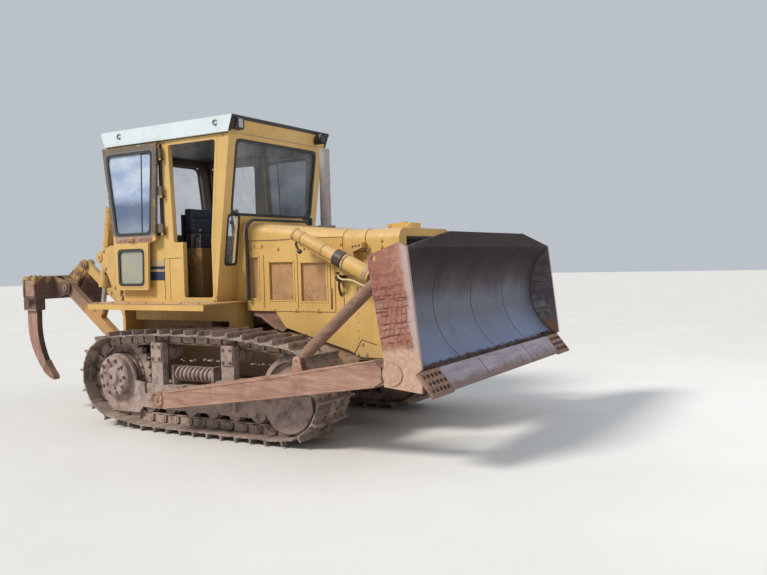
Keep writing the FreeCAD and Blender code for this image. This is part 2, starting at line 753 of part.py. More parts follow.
def sprocket():
    """Toothed rim on its hub and shaft."""
    middle = GAUGE / 2
    step = 2 * math.pi / SPROCKET_TEETH
    corners = []
    for i in range(SPROCKET_TEETH):
        for share, out in ((0.05, TOOTH_ROOT), (0.36, TOOTH_TIP), (0.64, TOOTH_TIP), (0.95, TOOTH_ROOT)):
            angle = (i + share) * step
            radius = SPROCKET_PITCH_RADIUS + out
            corners.append((SPROCKET_X + radius * math.cos(angle), SPROCKET_Z + radius * math.sin(angle)))
    centre = (SPROCKET_X, SPROCKET_Z)
    rim = prism(corners, (middle - SPROCKET_THICK / 2, middle + SPROCKET_THICK / 2))
    hub_y = (FINAL_DRIVE_OUTER + SPROCKET_HUB_START, middle + SPROCKET_HUB_REACH)
    hub = disc(centre, SPROCKET_HUB_RADIUS, hub_y)
    shaft = disc(centre, SPROCKET_SHAFT_RADIUS, (FINAL_DRIVE_OUTER, FRAME_OUTER - FRAME_PLATE - SEAT_GAP))
    return fuse([rim, hub, shaft])


def idler():
    """Front wheel: tread bands under the rails, a guide flange between them, dished sides."""
    middle = GAUGE / 2
    centre = (IDLER_X, IDLER_Z)
    tread = wheel_seat(link_frames(chain_pins()), IDLER_X, IDLER_Z)
    half = RAIL_SPACING / 2 + RAIL_WIDTH / 2
    flange_half = RAIL_SPACING / 2 - RAIL_WIDTH / 2 - IDLER_FLANGE_PLAY
    wheel = disc(centre, tread, (middle - half, middle + half))
    flange = disc(centre, tread + IDLER_FLANGE, (middle - flange_half, middle + flange_half))
    dish = disc(centre, tread - IDLER_RIM, (middle + half - IDLER_DISH, middle + half))
    inner_dish = disc(centre, tread - IDLER_RIM, (middle - half, middle - half + IDLER_DISH))
    hub = disc(centre, IDLER_HUB_RADIUS, (middle - half, middle + half))
    axle_y = (FRAME_INNER + FRAME_PLATE + SEAT_GAP, FRAME_OUTER - FRAME_PLATE - SEAT_GAP)
    axle = disc(centre, IDLER_AXLE_RADIUS, axle_y)
    return fuse([wheel.fuse(flange).cut(dish).cut(inner_dish), hub, axle])


def spool(x, z, radius, flange, bore_y):
    """Roller with a tread under each rail, flanges inside them, and its shaft."""
    middle = GAUGE / 2
    half = RAIL_SPACING / 2 + RAIL_WIDTH / 2
    gap_half = RAIL_SPACING / 2 - RAIL_WIDTH / 2 - ROLLER_FLANGE_PLAY
    thick = ROLLER_FLANGE_THICK
    treads = disc((x, z), radius, (middle - half, middle + half))
    waist_y = (middle - gap_half + thick + 2, middle + gap_half - thick - 2)
    waist = disc((x, z), radius + 1, waist_y).cut(disc((x, z), radius - ROLLER_WAIST, waist_y))
    rims = [disc((x, z), flange, (middle - gap_half, middle - gap_half + thick)),
            disc((x, z), flange, (middle + gap_half - thick, middle + gap_half))]
    shaft = disc((x, z), ROLLER_SHAFT_RADIUS, bore_y)
    return fuse([treads.cut(waist)] + rims + [shaft])


def rollers():
    """Bottom rollers and carrier rollers of the left-hand track."""
    frames = link_frames(chain_pins())
    inside = (FRAME_INNER + FRAME_PLATE + SEAT_GAP, FRAME_OUTER - FRAME_PLATE - SEAT_GAP)
    solids = []
    for x in roller_stations():
        z = roller_place(frames, x)
        solids.append(spool(x, z, ROLLER_RADIUS, ROLLER_RADIUS + ROLLER_FLANGE, inside))
    for x in CARRIER_X:
        z = carrier_place(frames, x)
        post_face = FRAME_OUTER - FRAME_PLATE / 2
        solids.append(spool(x, z, CARRIER_RADIUS, CARRIER_RADIUS + ROLLER_FLANGE,
                            (GAUGE / 2 - CARRIER_INNER_REACH, post_face - SEAT_GAP)))
    return solids


def recoil_spring():
    """Coil spring seated between its two yoke plates, drawn as rings on a core."""
    start, end = SPRING_X
    core = rod(V(start + SEAT_GAP, SPRING_Y, SPRING_Z), V(end - SEAT_GAP, SPRING_Y, SPRING_Z),
               SPRING_RADIUS - SPRING_WIRE + SPRING_SINK)
    pitch = (end - start - SPRING_WIRE) / (SPRING_COILS - 1)
    rings = []
    for i in range(SPRING_COILS):
        x = start + SPRING_WIRE / 2 + SEAT_GAP + i * (pitch - 2 * SEAT_GAP / SPRING_COILS)
        ring = Part.makeTorus(SPRING_RADIUS - SPRING_WIRE / 2, SPRING_WIRE / 2 - 0.5,
                              V(x, SPRING_Y, SPRING_Z), V(1, 0, 0))
        rings.append(ring)
    return fuse([core] + rings)


def hub_guard(y):
    """Plate round the underside of the final drive's outer bearing."""
    def from_centre(offset):
        return (SPROCKET_X + offset[0], SPROCKET_Z + offset[1])

    rear, bottom = from_centre(HUB_GUARD_REAR), from_centre(HUB_GUARD_BOTTOM)
    front_low, front_top = (HUB_GUARD_FRONT_X, FRAME_BOTTOM), (HUB_GUARD_FRONT_X, FRAME_TOP)
    edges = [
        arc(rear, from_centre(HUB_GUARD_CORNER), bottom),
        line(bottom, HUB_GUARD_FOOT),
        line(HUB_GUARD_FOOT, front_low),
        line(front_low, front_top),
        line(front_top, HUB_GUARD_SHOULDER),
        arc(HUB_GUARD_SHOULDER, from_centre((0.0, HUB_GUARD_RISE)), rear),
    ]
    return edges_prism(edges, y)


def idler_guard(y):
    """Plate under the front of the frame, rounded below the idler."""
    rear_low, rear_top = (IDLER_GUARD_REAR_X, FRAME_BOTTOM), (IDLER_GUARD_REAR_X, FRAME_TOP)
    neck, front_top = (IDLER_GUARD_NECK_X, FRAME_BOTTOM), (IDLER_GUARD_TOP_X, FRAME_TOP)
    edges = [
        line(rear_low, neck),
        line(neck, IDLER_GUARD_FOOT),
        arc(IDLER_GUARD_FOOT, IDLER_GUARD_BOTTOM, IDLER_GUARD_FRONT),
        line(IDLER_GUARD_FRONT, front_top),
        line(front_top, rear_top),
        line(rear_top, rear_low),
    ]
    return edges_prism(edges, y)


def track_frame():
    """Left-hand beam with its guards, hub bearing, posts, trunnion and spring yokes."""
    outer_plate = (FRAME_OUTER - FRAME_PLATE, FRAME_OUTER)
    inner_plate = (FRAME_INNER, FRAME_INNER + FRAME_PLATE)
    beam_z = (roller_height() + ROLLER_RADIUS + ROLLER_FLANGE + BEAM_OVER_ROLLERS, FRAME_TOP)
    pieces = [
        box(FRAME_BEAM_X, (FRAME_INNER, FRAME_OUTER), beam_z),
        hub_guard(outer_plate),
        disc((SPROCKET_X, SPROCKET_Z), HUB_COVER_RADIUS, (FRAME_OUTER - FRAME_PLATE, HUB_COVER_FACE)),
        idler_guard(outer_plate),
        idler_guard(inner_plate),
    ]
    side_z = (roller_height() - SIDE_PLATE_DROP, beam_z[0])
    side_x = (FRAME_BEAM_X[0] - SIDE_PLATE_REARWARD, FRAME_BEAM_X[1])
    block_x = (IDLER_X - IDLER_BLOCK_HALF, IDLER_X + IDLER_BLOCK_HALF)
    for side_y in (outer_plate, inner_plate):
        pieces.append(box(side_x, side_y, side_z))
        pieces.append(box(block_x, side_y, (FRAME_TOP - YOKE_MARGIN, IDLER_Z + IDLER_BLOCK_TOP)))
    for x in CARRIER_X:
        post_x = (x - POST_REARWARD, x - POST_REARWARD + POST_WIDTH)
        pieces.append(box(post_x, (FRAME_OUTER - FRAME_PLATE / 2, POST_OUTER), (FRAME_BOTTOM, POST_TOP)))
    pivot_x, pivot_z = ARM_PIVOT
    pieces.append(box((CARRIER_X[0], pivot_x + PIVOT_PLATE_FRONT), (FRAME_OUTER - FRAME_SINK, POST_OUTER),
                      (pivot_z - PIVOT_PLATE_HALF, pivot_z + PIVOT_PLATE_HALF)))
    pieces.append(disc(ARM_PIVOT, TRUNNION_RADIUS, (POST_OUTER - FRAME_SINK, ARM_OUTER - TRUNNION_SHORT)))
    yoke_z = (FRAME_TOP - FRAME_SINK, SPRING_Z + SPRING_RADIUS + YOKE_MARGIN)
    yoke_y = (SPRING_Y - SPRING_RADIUS - YOKE_MARGIN, SPRING_Y + SPRING_RADIUS + YOKE_MARGIN)
    pieces.append(box((SPRING_X[0] - YOKE_PLATE, SPRING_X[0]), yoke_y, yoke_z))
    pieces.append(box((SPRING_X[1], SPRING_X[1] + YOKE_PLATE), yoke_y, yoke_z))
    pieces.append(box((SPRING_X[1], RECOIL_HOUSING_FRONT_X), RECOIL_HOUSING_Y,
                      (FRAME_TOP - FRAME_SINK, RECOIL_HOUSING_TOP_Z)))
    return fuse(pieces)


# Hull


def main_frame():
    """Belly tray with its two rails, from the rear case to the nose."""
    front, ramp = FRONT_BEAM_X, FRONT_BEAM_X - BELLY_RAMP
    rail_y = (RAIL_BOX_INNER, HULL_HALF)
    belly_top = BELLY_Z + BELLY_PLATE
    pieces = [
        box((CASE_X[1], ramp), (-HULL_HALF, HULL_HALF), (BELLY_Z, belly_top)),
        prism([(ramp, BELLY_Z), (front, NOSE_BOTTOM), (front, NOSE_BOTTOM + BELLY_RAMP_THICK),
               (ramp, BELLY_Z + BELLY_RAMP_THICK)], (-HULL_HALF, HULL_HALF)),
        box((front - FRONT_BEAM_DEPTH, front), (-HULL_HALF, HULL_HALF), (NOSE_BOTTOM, RAIL_BOX_Z[1])),
    ]
    for rail in pair(box((CASE_X[1], front), rail_y, RAIL_BOX_Z)):
        pieces.append(rail)
    skirt_y = (HULL_HALF - BELLY_PLATE, HULL_HALF)
    for skirt in pair(box((CASE_X[1], ramp), skirt_y, (BELLY_Z, RAIL_BOX_Z[0] + RAIL_OVERLAP))):
        pieces.append(skirt)
    return fuse(pieces)


def rear_case():
    """Transmission and steering case, with the tow drawbar under its tail."""
    rear = CASE_X[0]
    case = box(CASE_X, (-HULL_HALF, HULL_HALF), (BELLY_Z + BELLY_PLATE, CASE_TOP))
    tail = disc((SPROCKET_X, SPROCKET_Z + TAIL_LIFT), TAIL_RADIUS, (-HULL_HALF, HULL_HALF))
    drawbar = box((rear - DRAWBAR_LENGTH, rear + RAIL_OVERLAP), (-DRAWBAR_HALF, DRAWBAR_HALF), DRAWBAR_Z)
    hole_foot = V(rear - DRAWBAR_HOLE_BACK, 0, BELLY_Z)
    drawbar_hole = Part.makeCylinder(DRAWBAR_HOLE_RADIUS, DRAWBAR_Z[1], hole_foot)
    body = fuse([case, drawbar.cut(drawbar_hole)])
    depth, height = CASE_ROUNDING
    rounding = box((rear, rear + depth), (-HULL_HALF - 1, HULL_HALF + 1), (CASE_TOP - height, CASE_TOP + 1))
    return fuse([body.cut(rounding), tail.common(case)])


def final_drives():
    """Left-hand final drive case between the hull and the sprocket."""
    centre = (SPROCKET_X, SPROCKET_Z)
    length, slimmer = FINAL_DRIVE_STEP
    case = disc(centre, FINAL_DRIVE_RADIUS, (HULL_HALF, FINAL_DRIVE_OUTER - length))
    step = disc(centre, FINAL_DRIVE_RADIUS - slimmer, (HULL_HALF, FINAL_DRIVE_OUTER - SEAT_GAP))
    return fuse([case, step])


def engine_block():
    """Engine as one plain block with its head, sump and mounting feet."""
    low, top = ENGINE_Z
    rear, front = ENGINE_X
    block_z = (low + SUMP_HEIGHT, top - HEAD_HEIGHT)
    block = box(ENGINE_X, (-ENGINE_HALF, ENGINE_HALF), block_z)
    head = box((rear + HEAD_INSET[0], front - HEAD_INSET[1]), HEAD_Y, (block_z[1] - FRAME_SINK, top))
    sump_x = (rear + SUMP_INSET[0], front - SUMP_INSET[1])
    sump = box(sump_x, (-SUMP_HALF, SUMP_HALF), (low, block_z[0] + FRAME_SINK))
    pieces = [block, head, sump]
    for foot in pair(box(ENGINE_FOOT_X, (ENGINE_HALF - RAIL_OVERLAP, RAIL_BOX_INNER + ENGINE_FOOT_REACH),
                         (RAIL_BOX_Z[1], RAIL_BOX_Z[1] + ENGINE_FOOT_HEIGHT))):
        pieces.append(foot)
    fan_back = RADIATOR_X[0] - FAN_GAP - FAN_THICK
    fan_shaft = rod(V(front - RAIL_OVERLAP, 0, FAN_Z), V(fan_back, 0, FAN_Z), FAN_SHAFT_RADIUS)
    fan = rod(V(fan_back, 0, FAN_Z), V(fan_back + FAN_THICK, 0, FAN_Z), FAN_RADIUS)
    return fuse(pieces + [fan_shaft, fan])


def radiator():
    """Radiator core with its two tanks, standing on the frame's front beam."""
    y = (-RADIATOR_HALF, RADIATOR_HALF)
    core = box((RADIATOR_X[0] + CORE_INSET, RADIATOR_X[1] - CORE_INSET), y, RADIATOR_Z)
    tanks = [
        box(RADIATOR_X, y, (RADIATOR_Z[1] - TOP_TANK, RADIATOR_Z[1])),
        box(RADIATOR_X, y, (RAIL_BOX_Z[1], RADIATOR_Z[0] + BOTTOM_TANK)),
    ]
    return fuse([core] + tanks)


def cross_beams():
    """Equalizer bar and rear pivot shaft that join the track frames under the hull."""
    reach = FRAME_INNER - SEAT_GAP
    bar_top = EQUALIZER_Z + EQUALIZER_HEIGHT
    bar_x = (EQUALIZER_X - EQUALIZER_HALF, EQUALIZER_X + EQUALIZER_HALF)
    bar = box(bar_x, (-reach, reach), (EQUALIZER_Z, bar_top))
    half_x, half_y = SADDLE_HALF
    saddle_x = (EQUALIZER_X - half_x, EQUALIZER_X + half_x)
    saddle = box(saddle_x, (-half_y, half_y), (bar_top - SADDLE_SINK, BELLY_Z))
    shaft = disc((PIVOT_SHAFT_X, PIVOT_SHAFT_Z), PIVOT_SHAFT_RADIUS, (-reach, reach))
    block_x = (PIVOT_SHAFT_X - PIVOT_BLOCK_HALF, PIVOT_SHAFT_X + PIVOT_BLOCK_HALF)
    block = box(block_x, (-HULL_HALF, HULL_HALF), (PIVOT_SHAFT_Z, BELLY_Z + BELLY_PLATE))
    return [fuse([bar, saddle]), fuse([shaft, block])]


# Hood, engine sides and nose


def nose_section(half, top, bottom, corner):
    """Arch seen from the front: straight sides, rounded shoulders, flat top."""
    c = corner
    k = c * (1 - math.sqrt(0.5))
    return [
        ((-half, bottom), (-half, top - c)),
        ((-half, top - c), (-half + k, top - k), (-half + c, top)),
        ((-half + c, top), (half - c, top)),
        ((half - c, top), (half - k, top - k), (half, top - c)),
        ((half, top - c), (half, bottom)),
        ((half, bottom), (-half, bottom)),
    ]


def arch_solid(x, half, top, bottom, corner, travel):
    """Solid arch from the plane at x, extruded along a vector."""
    edges = []
    for points in nose_section(half, top, bottom, corner):
        at = [V(x, py, pz) for py, pz in points]
        curve = Part.LineSegment(*at) if len(at) == 2 else Part.Arc(*at)
        edges.append(curve.toShape())
    return Part.Face(Part.Wire(edges)).extrude(travel)


def hood():
    """Rounded sheet over the engine, falling towards the nose, open below."""
    travel = V(NOSE_X[0] - SEAT_GAP - HOOD_REAR_X, 0, NOSE_TOP - HOOD_REAR_Z)
    drop = HOOD_EDGE_Z - (HOOD_REAR_Z - NOSE_TOP) - HOOD_SKIRT
    outer = arch_solid(HOOD_REAR_X, NOSE_HALF, HOOD_REAR_Z, drop, HOOD_CORNER, travel)
    inner = arch_solid(HOOD_REAR_X, NOSE_HALF - SHEET, HOOD_REAR_Z - SHEET, drop - SHEET,
                       HOOD_CORNER - SHEET, travel)
    below = box((SIDE_REAR_X, NOSE_X[1]), (-NOSE_HALF - 1, NOSE_HALF + 1), (SIDE_BOTTOM, HOOD_EDGE_Z))
    stack_foot = V(STACK_X, STACK_Y, ENGINE_Z[1])
    stack_hole = Part.makeCylinder(STACK_RADIUS + STACK_HOLE_PLAY, STACK_TOP - ENGINE_Z[1], stack_foot)
    return cut(outer, [inner, below, stack_hole])


def side_panels():
    """Left-hand engine side: a frame with one opening for each perforated panel."""
    low_z, high_z = SIDE_BOTTOM, HOOD_EDGE_Z
    sheet_y = (NOSE_HALF - SIDE_SHEET, NOSE_HALF)
    panel = box((SIDE_REAR_X, NOSE_X[0] - SEAT_GAP), sheet_y, (low_z, high_z))
    openings = [box((x0, x1), (sheet_y[0] - 1, sheet_y[1] + 1), (z0, z1)) for x0, x1, z0, z1 in VENTS]
    return cut(panel, openings)


def vent_panels():
    """Left-hand perforated sheets, seated in the engine side's openings."""
    outer = NOSE_HALF - VENT_RECESS
    sheet_y = (outer - VENT_SHEET, outer)
    sheets = []
    for x0, x1, z0, z1 in VENTS:
        sheets.append(box((x0 + SEAT_GAP, x1 - SEAT_GAP), sheet_y, (z0 + SEAT_GAP, z1 - SEAT_GAP)))
    return sheets


def nose_guard():
    """Radiator guard: two cheek plates, a rounded top and a front frame, open behind."""
    rear, front = NOSE_X
    eave = NOSE_TOP - HOOD_CORNER
    outline = [(rear, eave), (rear, SIDE_BOTTOM)] + list(CHEEK_SLANT) + [(front, NOSE_BOTTOM), (front, eave)]
    cheek = prism(outline, (NOSE_HALF - NOSE_PLATE, NOSE_HALF))
    travel = V(front - rear, 0, 0)
    skirt = NOSE_TOP - NOSE_SKIRT
    shell = arch_solid(rear, NOSE_HALF, NOSE_TOP, skirt, HOOD_CORNER, travel)
    hollow = arch_solid(rear, NOSE_HALF - NOSE_PLATE, NOSE_TOP - NOSE_PLATE, skirt - NOSE_PLATE,
                        HOOD_CORNER - NOSE_PLATE, travel)
    face = arch_solid(front - NOSE_PLATE, NOSE_HALF, NOSE_TOP, NOSE_BOTTOM, HOOD_CORNER, V(NOSE_PLATE, 0, 0))
    window = box((front - 2 * NOSE_PLATE, front + NOSE_PLATE), (-GRILLE_HALF, GRILLE_HALF), GRILLE_Z)
    foot = box(NOSE_FOOT_X, (HULL_HALF, NOSE_HALF - NOSE_PLATE), NOSE_FOOT_Z)
    cap_box = box(CAP_BOX_X, (-CAP_BOX_HALF, CAP_BOX_HALF), (NOSE_TOP - NOSE_PLATE, CAP_BOX_TOP))
    return fuse([shell.cut(hollow), face.cut(window), cap_box] + pair(cheek) + pair(foot))


def nose_grille():
    """Grille of upright bars in the guard's front window."""
    x = (NOSE_X[1] - NOSE_PLATE + 2, NOSE_X[1] - 4)
    low, high = GRILLE_Z
    half = GRILLE_HALF - SEAT_GAP
    frame = box(x, (-half, half), (low + SEAT_GAP, high - SEAT_GAP))
    inner = half - GRILLE_RIM
    bar_z = (low + GRILLE_RIM, high - GRILLE_RIM)
    frame = frame.cut(box((x[0] - 1, x[1] + 1), (-inner, inner), bar_z))
    step = 2 * inner / (GRILLE_BARS + 1)
    bars = []
    for i in range(GRILLE_BARS):
        middle = -inner + step * (i + 1)
        bars.append(box(x, (middle - GRILLE_BAR / 2, middle + GRILLE_BAR / 2), (bar_z[0] - 2, bar_z[1] + 2)))
    return fuse([frame] + bars)


def exhaust_stack():
    """Upright pipe from the engine through the hood, open at the top."""
    foot = V(STACK_X, STACK_Y, ENGINE_Z[1])
    tube = Part.makeCylinder(STACK_RADIUS, STACK_TOP - ENGINE_Z[1], foot)
    bore = Part.makeCylinder(STACK_RADIUS - STACK_WALL, STACK_TOP, foot + V(0, 0, STACK_FLOOR))
    return tube.cut(bore)


# Platform and cab


def platform():
    """Floor plate with its fenders, their down-turned lips and the pedestals on the case."""
    rear, front = PLATFORM_REAR_X, SIDE_REAR_X - SEAT_GAP
    low = PLATFORM_TOP - PLATFORM_PLATE
    plate = box((rear, front), (-PLATFORM_HALF, PLATFORM_HALF), (low, PLATFORM_TOP))
    lip = box((rear, front), (PLATFORM_HALF - PLATFORM_PLATE, PLATFORM_HALF), (low - FENDER_LIP, low))
    side_plate, side_low = PLATFORM_SIDE
    outer = PEDESTAL_Y[1]
    pedestal = box(PEDESTAL_X, (HULL_HALF - PEDESTAL_SEAT, outer), (CASE_TOP, low))
    side = box((PEDESTAL_X[0], RAIL_LEG_X[1]), (outer - side_plate, outer), (side_low, low))
    web = box(PEDESTAL_X, (HULL_HALF + SEAT_GAP, outer), (side_low, CASE_TOP))
    rail_leg = box(RAIL_LEG_X, (RAIL_LEG_INNER, outer), (RAIL_BOX_Z[1], low))
    return fuse([plate] + pair(lip) + pair(pedestal) + pair(side) + pair(web) + pair(rail_leg))


def cab_edge(z, edge):
    """X of the cab's front or rear edge at a height."""
    share = (z - PLATFORM_TOP) / (CAB_TOP - PLATFORM_TOP)
    return edge[0] + (edge[1] - edge[0]) * share


def cab_side():
    """Left-hand cab side as thick as the wall, with its door opening and rear window."""
    y = (CAB_HALF - CAB_WALL, CAB_HALF)
    clear = (y[0] - 1, y[1] + 1)
    wall = prism([
        (CAB_REAR_X[0], PLATFORM_TOP), (CAB_FRONT_X[0], PLATFORM_TOP),
        (CAB_FRONT_X[1], CAB_TOP), (CAB_REAR_X[1], CAB_TOP),
    ], y)
    low, high = DOOR_OPENING_Z
    opening = prism([
        (DOOR_OPENING_LOW_X[0], low), (DOOR_OPENING_LOW_X[1], low),
        (DOOR_OPENING_TOP_X[1], high), (DOOR_OPENING_TOP_X[0], high),
        (DOOR_OPENING_STEP_X, DOOR_OPENING_STEP_Z), (DOOR_OPENING_LOW_X[0], DOOR_OPENING_STEP_Z),
    ], clear)
    return cut(wall, [opening, prism(REAR_SIDE_WINDOW, clear)])


def cab_front():
    """Leaning front wall between the sides, with its screen and two quarter windows."""
    half = CAB_HALF - CAB_WALL
    outline = [
        (CAB_FRONT_X[0] - CAB_WALL, PLATFORM_TOP), (CAB_FRONT_X[0], PLATFORM_TOP),
        (CAB_FRONT_X[1], CAB_TOP), (CAB_FRONT_X[1] - CAB_WALL, CAB_TOP),
    ]
    wall = prism(outline, (-half, half))
    reach = (CAB_FRONT_X[0] - 2 * CAB_WALL, CAB_FRONT_X[1] + CAB_WALL)
    screen = box(reach, (-SCREEN_HALF, SCREEN_HALF), SCREEN_Z)
    quarter = box(reach, QUARTER_Y, (QUARTER_Z[0], SCREEN_Z[0] + 1))
    return cut(wall, [screen] + pair(quarter))


def cowl():
    """Dash housing between the cab's front wall and the hood, with its raised rim."""
    front = SIDE_REAR_X - SEAT_GAP
    low = PLATFORM_TOP
    core = arch_solid(front - COWL_DEPTH, NOSE_HALF - COWL_INSET, HOOD_REAR_Z - COWL_INSET, low, HOOD_CORNER,
                      V(COWL_DEPTH, 0, 0))
    far = CAB_FRONT_X[0] - CAB_WALL - COWL_DEPTH
    behind = prism([
        (far, low - 1), (cab_edge(low - 1, CAB_FRONT_X), low - 1),
        (cab_edge(CAB_TOP, CAB_FRONT_X), CAB_TOP), (far, CAB_TOP),
    ], (-NOSE_HALF, NOSE_HALF))
    rim = arch_solid(front, NOSE_HALF + COWL_RIM, HOOD_REAR_Z + COWL_RIM, HOOD_EDGE_Z, HOOD_CORNER + COWL_RIM,
                     V(HOOD_REAR_X - SIDE_REAR_X, 0, 0))
    plug_y = NOSE_HALF + COWL_RIM + 1
    plug = box((front - 1, HOOD_REAR_X + 1), (-plug_y, plug_y), (low, HOOD_EDGE_Z + 1))
    return fuse([core.cut(behind), rim.cut(plug)])


def cab_rear():
    """Rear wall between the sides, with its window."""
    half = CAB_HALF - CAB_WALL
    outline = [
        (CAB_REAR_X[0], PLATFORM_TOP), (CAB_REAR_X[0] + CAB_WALL, PLATFORM_TOP),
        (CAB_REAR_X[1] + CAB_WALL, CAB_TOP), (CAB_REAR_X[1], CAB_TOP),
    ]
    wall = prism(outline, (-half, half))
    across = (CAB_REAR_X[1] - CAB_WALL, CAB_REAR_X[0] + 2 * CAB_WALL)
    window = box(across, (-REAR_WINDOW_HALF, REAR_WINDOW_HALF), REAR_WINDOW_Z)
    return wall.cut(window)


def cab_roof():
    """Roof tray with slanted ends, hollow over the cab."""
    rear, front = ROOF_X
    slab = prism([
        (rear + ROOF_SLANT, CAB_TOP), (front - ROOF_SLANT, CAB_TOP),
        (front, ROOF_TOP), (rear, ROOF_TOP),
    ], (-ROOF_HALF, ROOF_HALF))
    inset = CAB_WALL + ROOF_RIM
    ceiling = box((CAB_REAR_X[1] + inset, CAB_FRONT_X[1] - inset), (inset - CAB_HALF, CAB_HALF - inset),
                  (CAB_TOP - 1, ROOF_TOP - ROOF_SHEET))
    return slab.cut(ceiling)


def cab_glass():
    """Fixed panes: screen, two front quarters, rear window and two side windows."""
    half = CAB_HALF - CAB_WALL
    mid = CAB_WALL / 2
    front_slab = prism([
        (CAB_FRONT_X[0] - mid, PLATFORM_TOP), (CAB_FRONT_X[0] - mid + GLASS, PLATFORM_TOP),
        (CAB_FRONT_X[1] - mid + GLASS, CAB_TOP), (CAB_FRONT_X[1] - mid, CAB_TOP),
    ], (-half, half))
    rear_slab = prism([
        (CAB_REAR_X[0] + mid, PLATFORM_TOP), (CAB_REAR_X[0] + mid + GLASS, PLATFORM_TOP),
        (CAB_REAR_X[1] + mid + GLASS, CAB_TOP), (CAB_REAR_X[1] + mid, CAB_TOP),
    ], (-half, half))
    wide = (CAB_REAR_X[1] - CAB_WALL, CAB_FRONT_X[1] + CAB_WALL)
    gap = SEAT_GAP
    screen = front_slab.common(box(wide, (gap - SCREEN_HALF, SCREEN_HALF - gap),
                                   (SCREEN_Z[0] + gap, SCREEN_Z[1] - gap)))
    quarter = front_slab.common(box(wide, (QUARTER_Y[0] + gap, QUARTER_Y[1] - gap),
                                    (QUARTER_Z[0] + gap, QUARTER_Z[1] - 2)))
    rear = rear_slab.common(box(wide, (gap - REAR_WINDOW_HALF, REAR_WINDOW_HALF - gap),
                                (REAR_WINDOW_Z[0] + gap, REAR_WINDOW_Z[1] - gap)))
    side = prism(REAR_SIDE_WINDOW, (half + mid, half + mid + GLASS))
    return [screen, rear] + pair(quarter) + pair(side)


def roof_lamps():
    """Two lamps on the roof's front face: a square one on the right, a round one on the left."""
    face = ROOF_X[1]
    back = face - ROOF_SLANT
    inner, outer = (-ROOF_HALF + inset for inset in SQUARE_LAMP_Y)
    low, top = (CAB_TOP + rise for rise in SQUARE_LAMP_Z)
    square = box((back - LAMP_SINK, face + SQUARE_LAMP_DEPTH), (inner, outer), (low, top))
    slab = cab_roof()
    round_z = CAB_TOP + ROUND_LAMP_Z
    round_back = V(back - LAMP_SINK, ROUND_LAMP_Y, round_z)
    round_front = V(face + ROUND_LAMP_DEPTH, ROUND_LAMP_Y, round_z)
    round_lamp = rod(round_back, round_front, ROUND_LAMP_RADIUS)
    return [square.cut(slab), round_lamp.cut(slab)]


def seat_base():
    """Pedestal under the seat and the frame behind its back."""
    rear, front = SEAT_X
    pan_z = (SEAT_Z[0] - SEAT_PAN, SEAT_Z[0])
    back_half = SEAT_HALF - SEAT_BACK_INSET
    back_x = (rear - SEAT_BACK[0], rear - SEAT_BACK[1])
    pedestal = box((rear + PEDESTAL_INSET, front - PEDESTAL_INSET), (-PEDESTAL_HALF, PEDESTAL_HALF),
                   (PLATFORM_TOP, pan_z[0]))
    pan = box((rear, front), (-SEAT_HALF, SEAT_HALF), pan_z)
    back = box(back_x, (-back_half, back_half), (pan_z[0], BACKREST_TOP - SEAT_BACK_DROP))
    tie = box((back_x[0], rear + 1), (-back_half, back_half), pan_z)
    return fuse([pedestal, pan, back, tie])


def seat_cushions():
    """Seat cushion and backrest."""
    rear, front = SEAT_X
    y = (-SEAT_HALF, SEAT_HALF)
    foot = SEAT_Z[0] + SEAT_GAP
    cushion = box((rear + CUSHION_SETBACK, front), y, (foot, SEAT_Z[1]))
    backrest = box((rear - SEAT_BACK[1] + SEAT_GAP, rear + BACKREST_FRONT), y, (foot, BACKREST_TOP))
    return [cushion, backrest]


def controls():
    """Dash panel with its levers, and the console box at the operator's right."""
    dash = box(DASH_X, (-DASH_HALF, DASH_HALF), (PLATFORM_TOP, DASH_Z[1] - 1))
    dash_top = box(DASH_TOP_X, (-DASH_HALF, DASH_HALF), DASH_Z)
    levers = []
    for x, y, foot, lean, top in LEVERS:
        levers.append(rod(V(x, y, foot), V(x + lean, y, top), LEVER_RADIUS))
        levers.append(Part.makeSphere(KNOB_RADIUS, V(x + lean, y, top)))
    console = [box(CONSOLE_X, CONSOLE_Y, (PLATFORM_TOP, CONSOLE_TOP))]
    middle = (CONSOLE_Y[0] + CONSOLE_Y[1]) / 2
    radius, lean, top = CONSOLE_LEVER
    for x in CONSOLE_LEVER_X:
        console.append(rod(V(x, middle, CONSOLE_TOP - 1), V(x + lean, middle, top), radius))
    return [fuse([dash, dash_top] + levers), fuse(console)]


# Doors


def door_shut():
    """Left-hand door in its shut place, with its windows cut and its hinge knuckles."""
    y = (CAB_HALF + DOOR_GAP, CAB_HALF + DOOR_GAP + DOOR_THICK)
    clear = (y[0] - 1, y[1] + 1)
    panel = cut(prism(DOOR_OUTLINE, y), [prism(DOOR_WINDOW_UPPER, clear), prism(DOOR_WINDOW_LOWER, clear)])
    pieces = [panel]
    for z in HINGE_Z:
        span = (z - HINGE_HEIGHT / 2, z + HINGE_HEIGHT / 2)
        leaf_y = (y[1] - HINGE_SINK, DOOR_HINGE_Y + HINGE_EDGE)
        pieces.append(box((DOOR_HINGE_X, DOOR_HINGE_X + HINGE_LEAF), leaf_y, span))
        pieces.append(Part.makeCylinder(HINGE_KNUCKLE, HINGE_HEIGHT, V(DOOR_HINGE_X, DOOR_HINGE_Y, span[0])))
    bores = [Part.makeCylinder(HINGE_PIN + PIN_GAP, HINGE_HEIGHT + 2,
                               V(DOOR_HINGE_X, DOOR_HINGE_Y, z - HINGE_HEIGHT / 2 - 1)) for z in HINGE_Z]
    return cut(fuse(pieces), bores)


def door_panes():
    """Left-hand door's two panes, in their shut place."""
    y_middle = CAB_HALF + DOOR_GAP + DOOR_THICK / 2
    y = (y_middle - GLASS / 2, y_middle + GLASS / 2)
    return [prism(DOOR_WINDOW_UPPER, y), prism(DOOR_WINDOW_LOWER, y)]


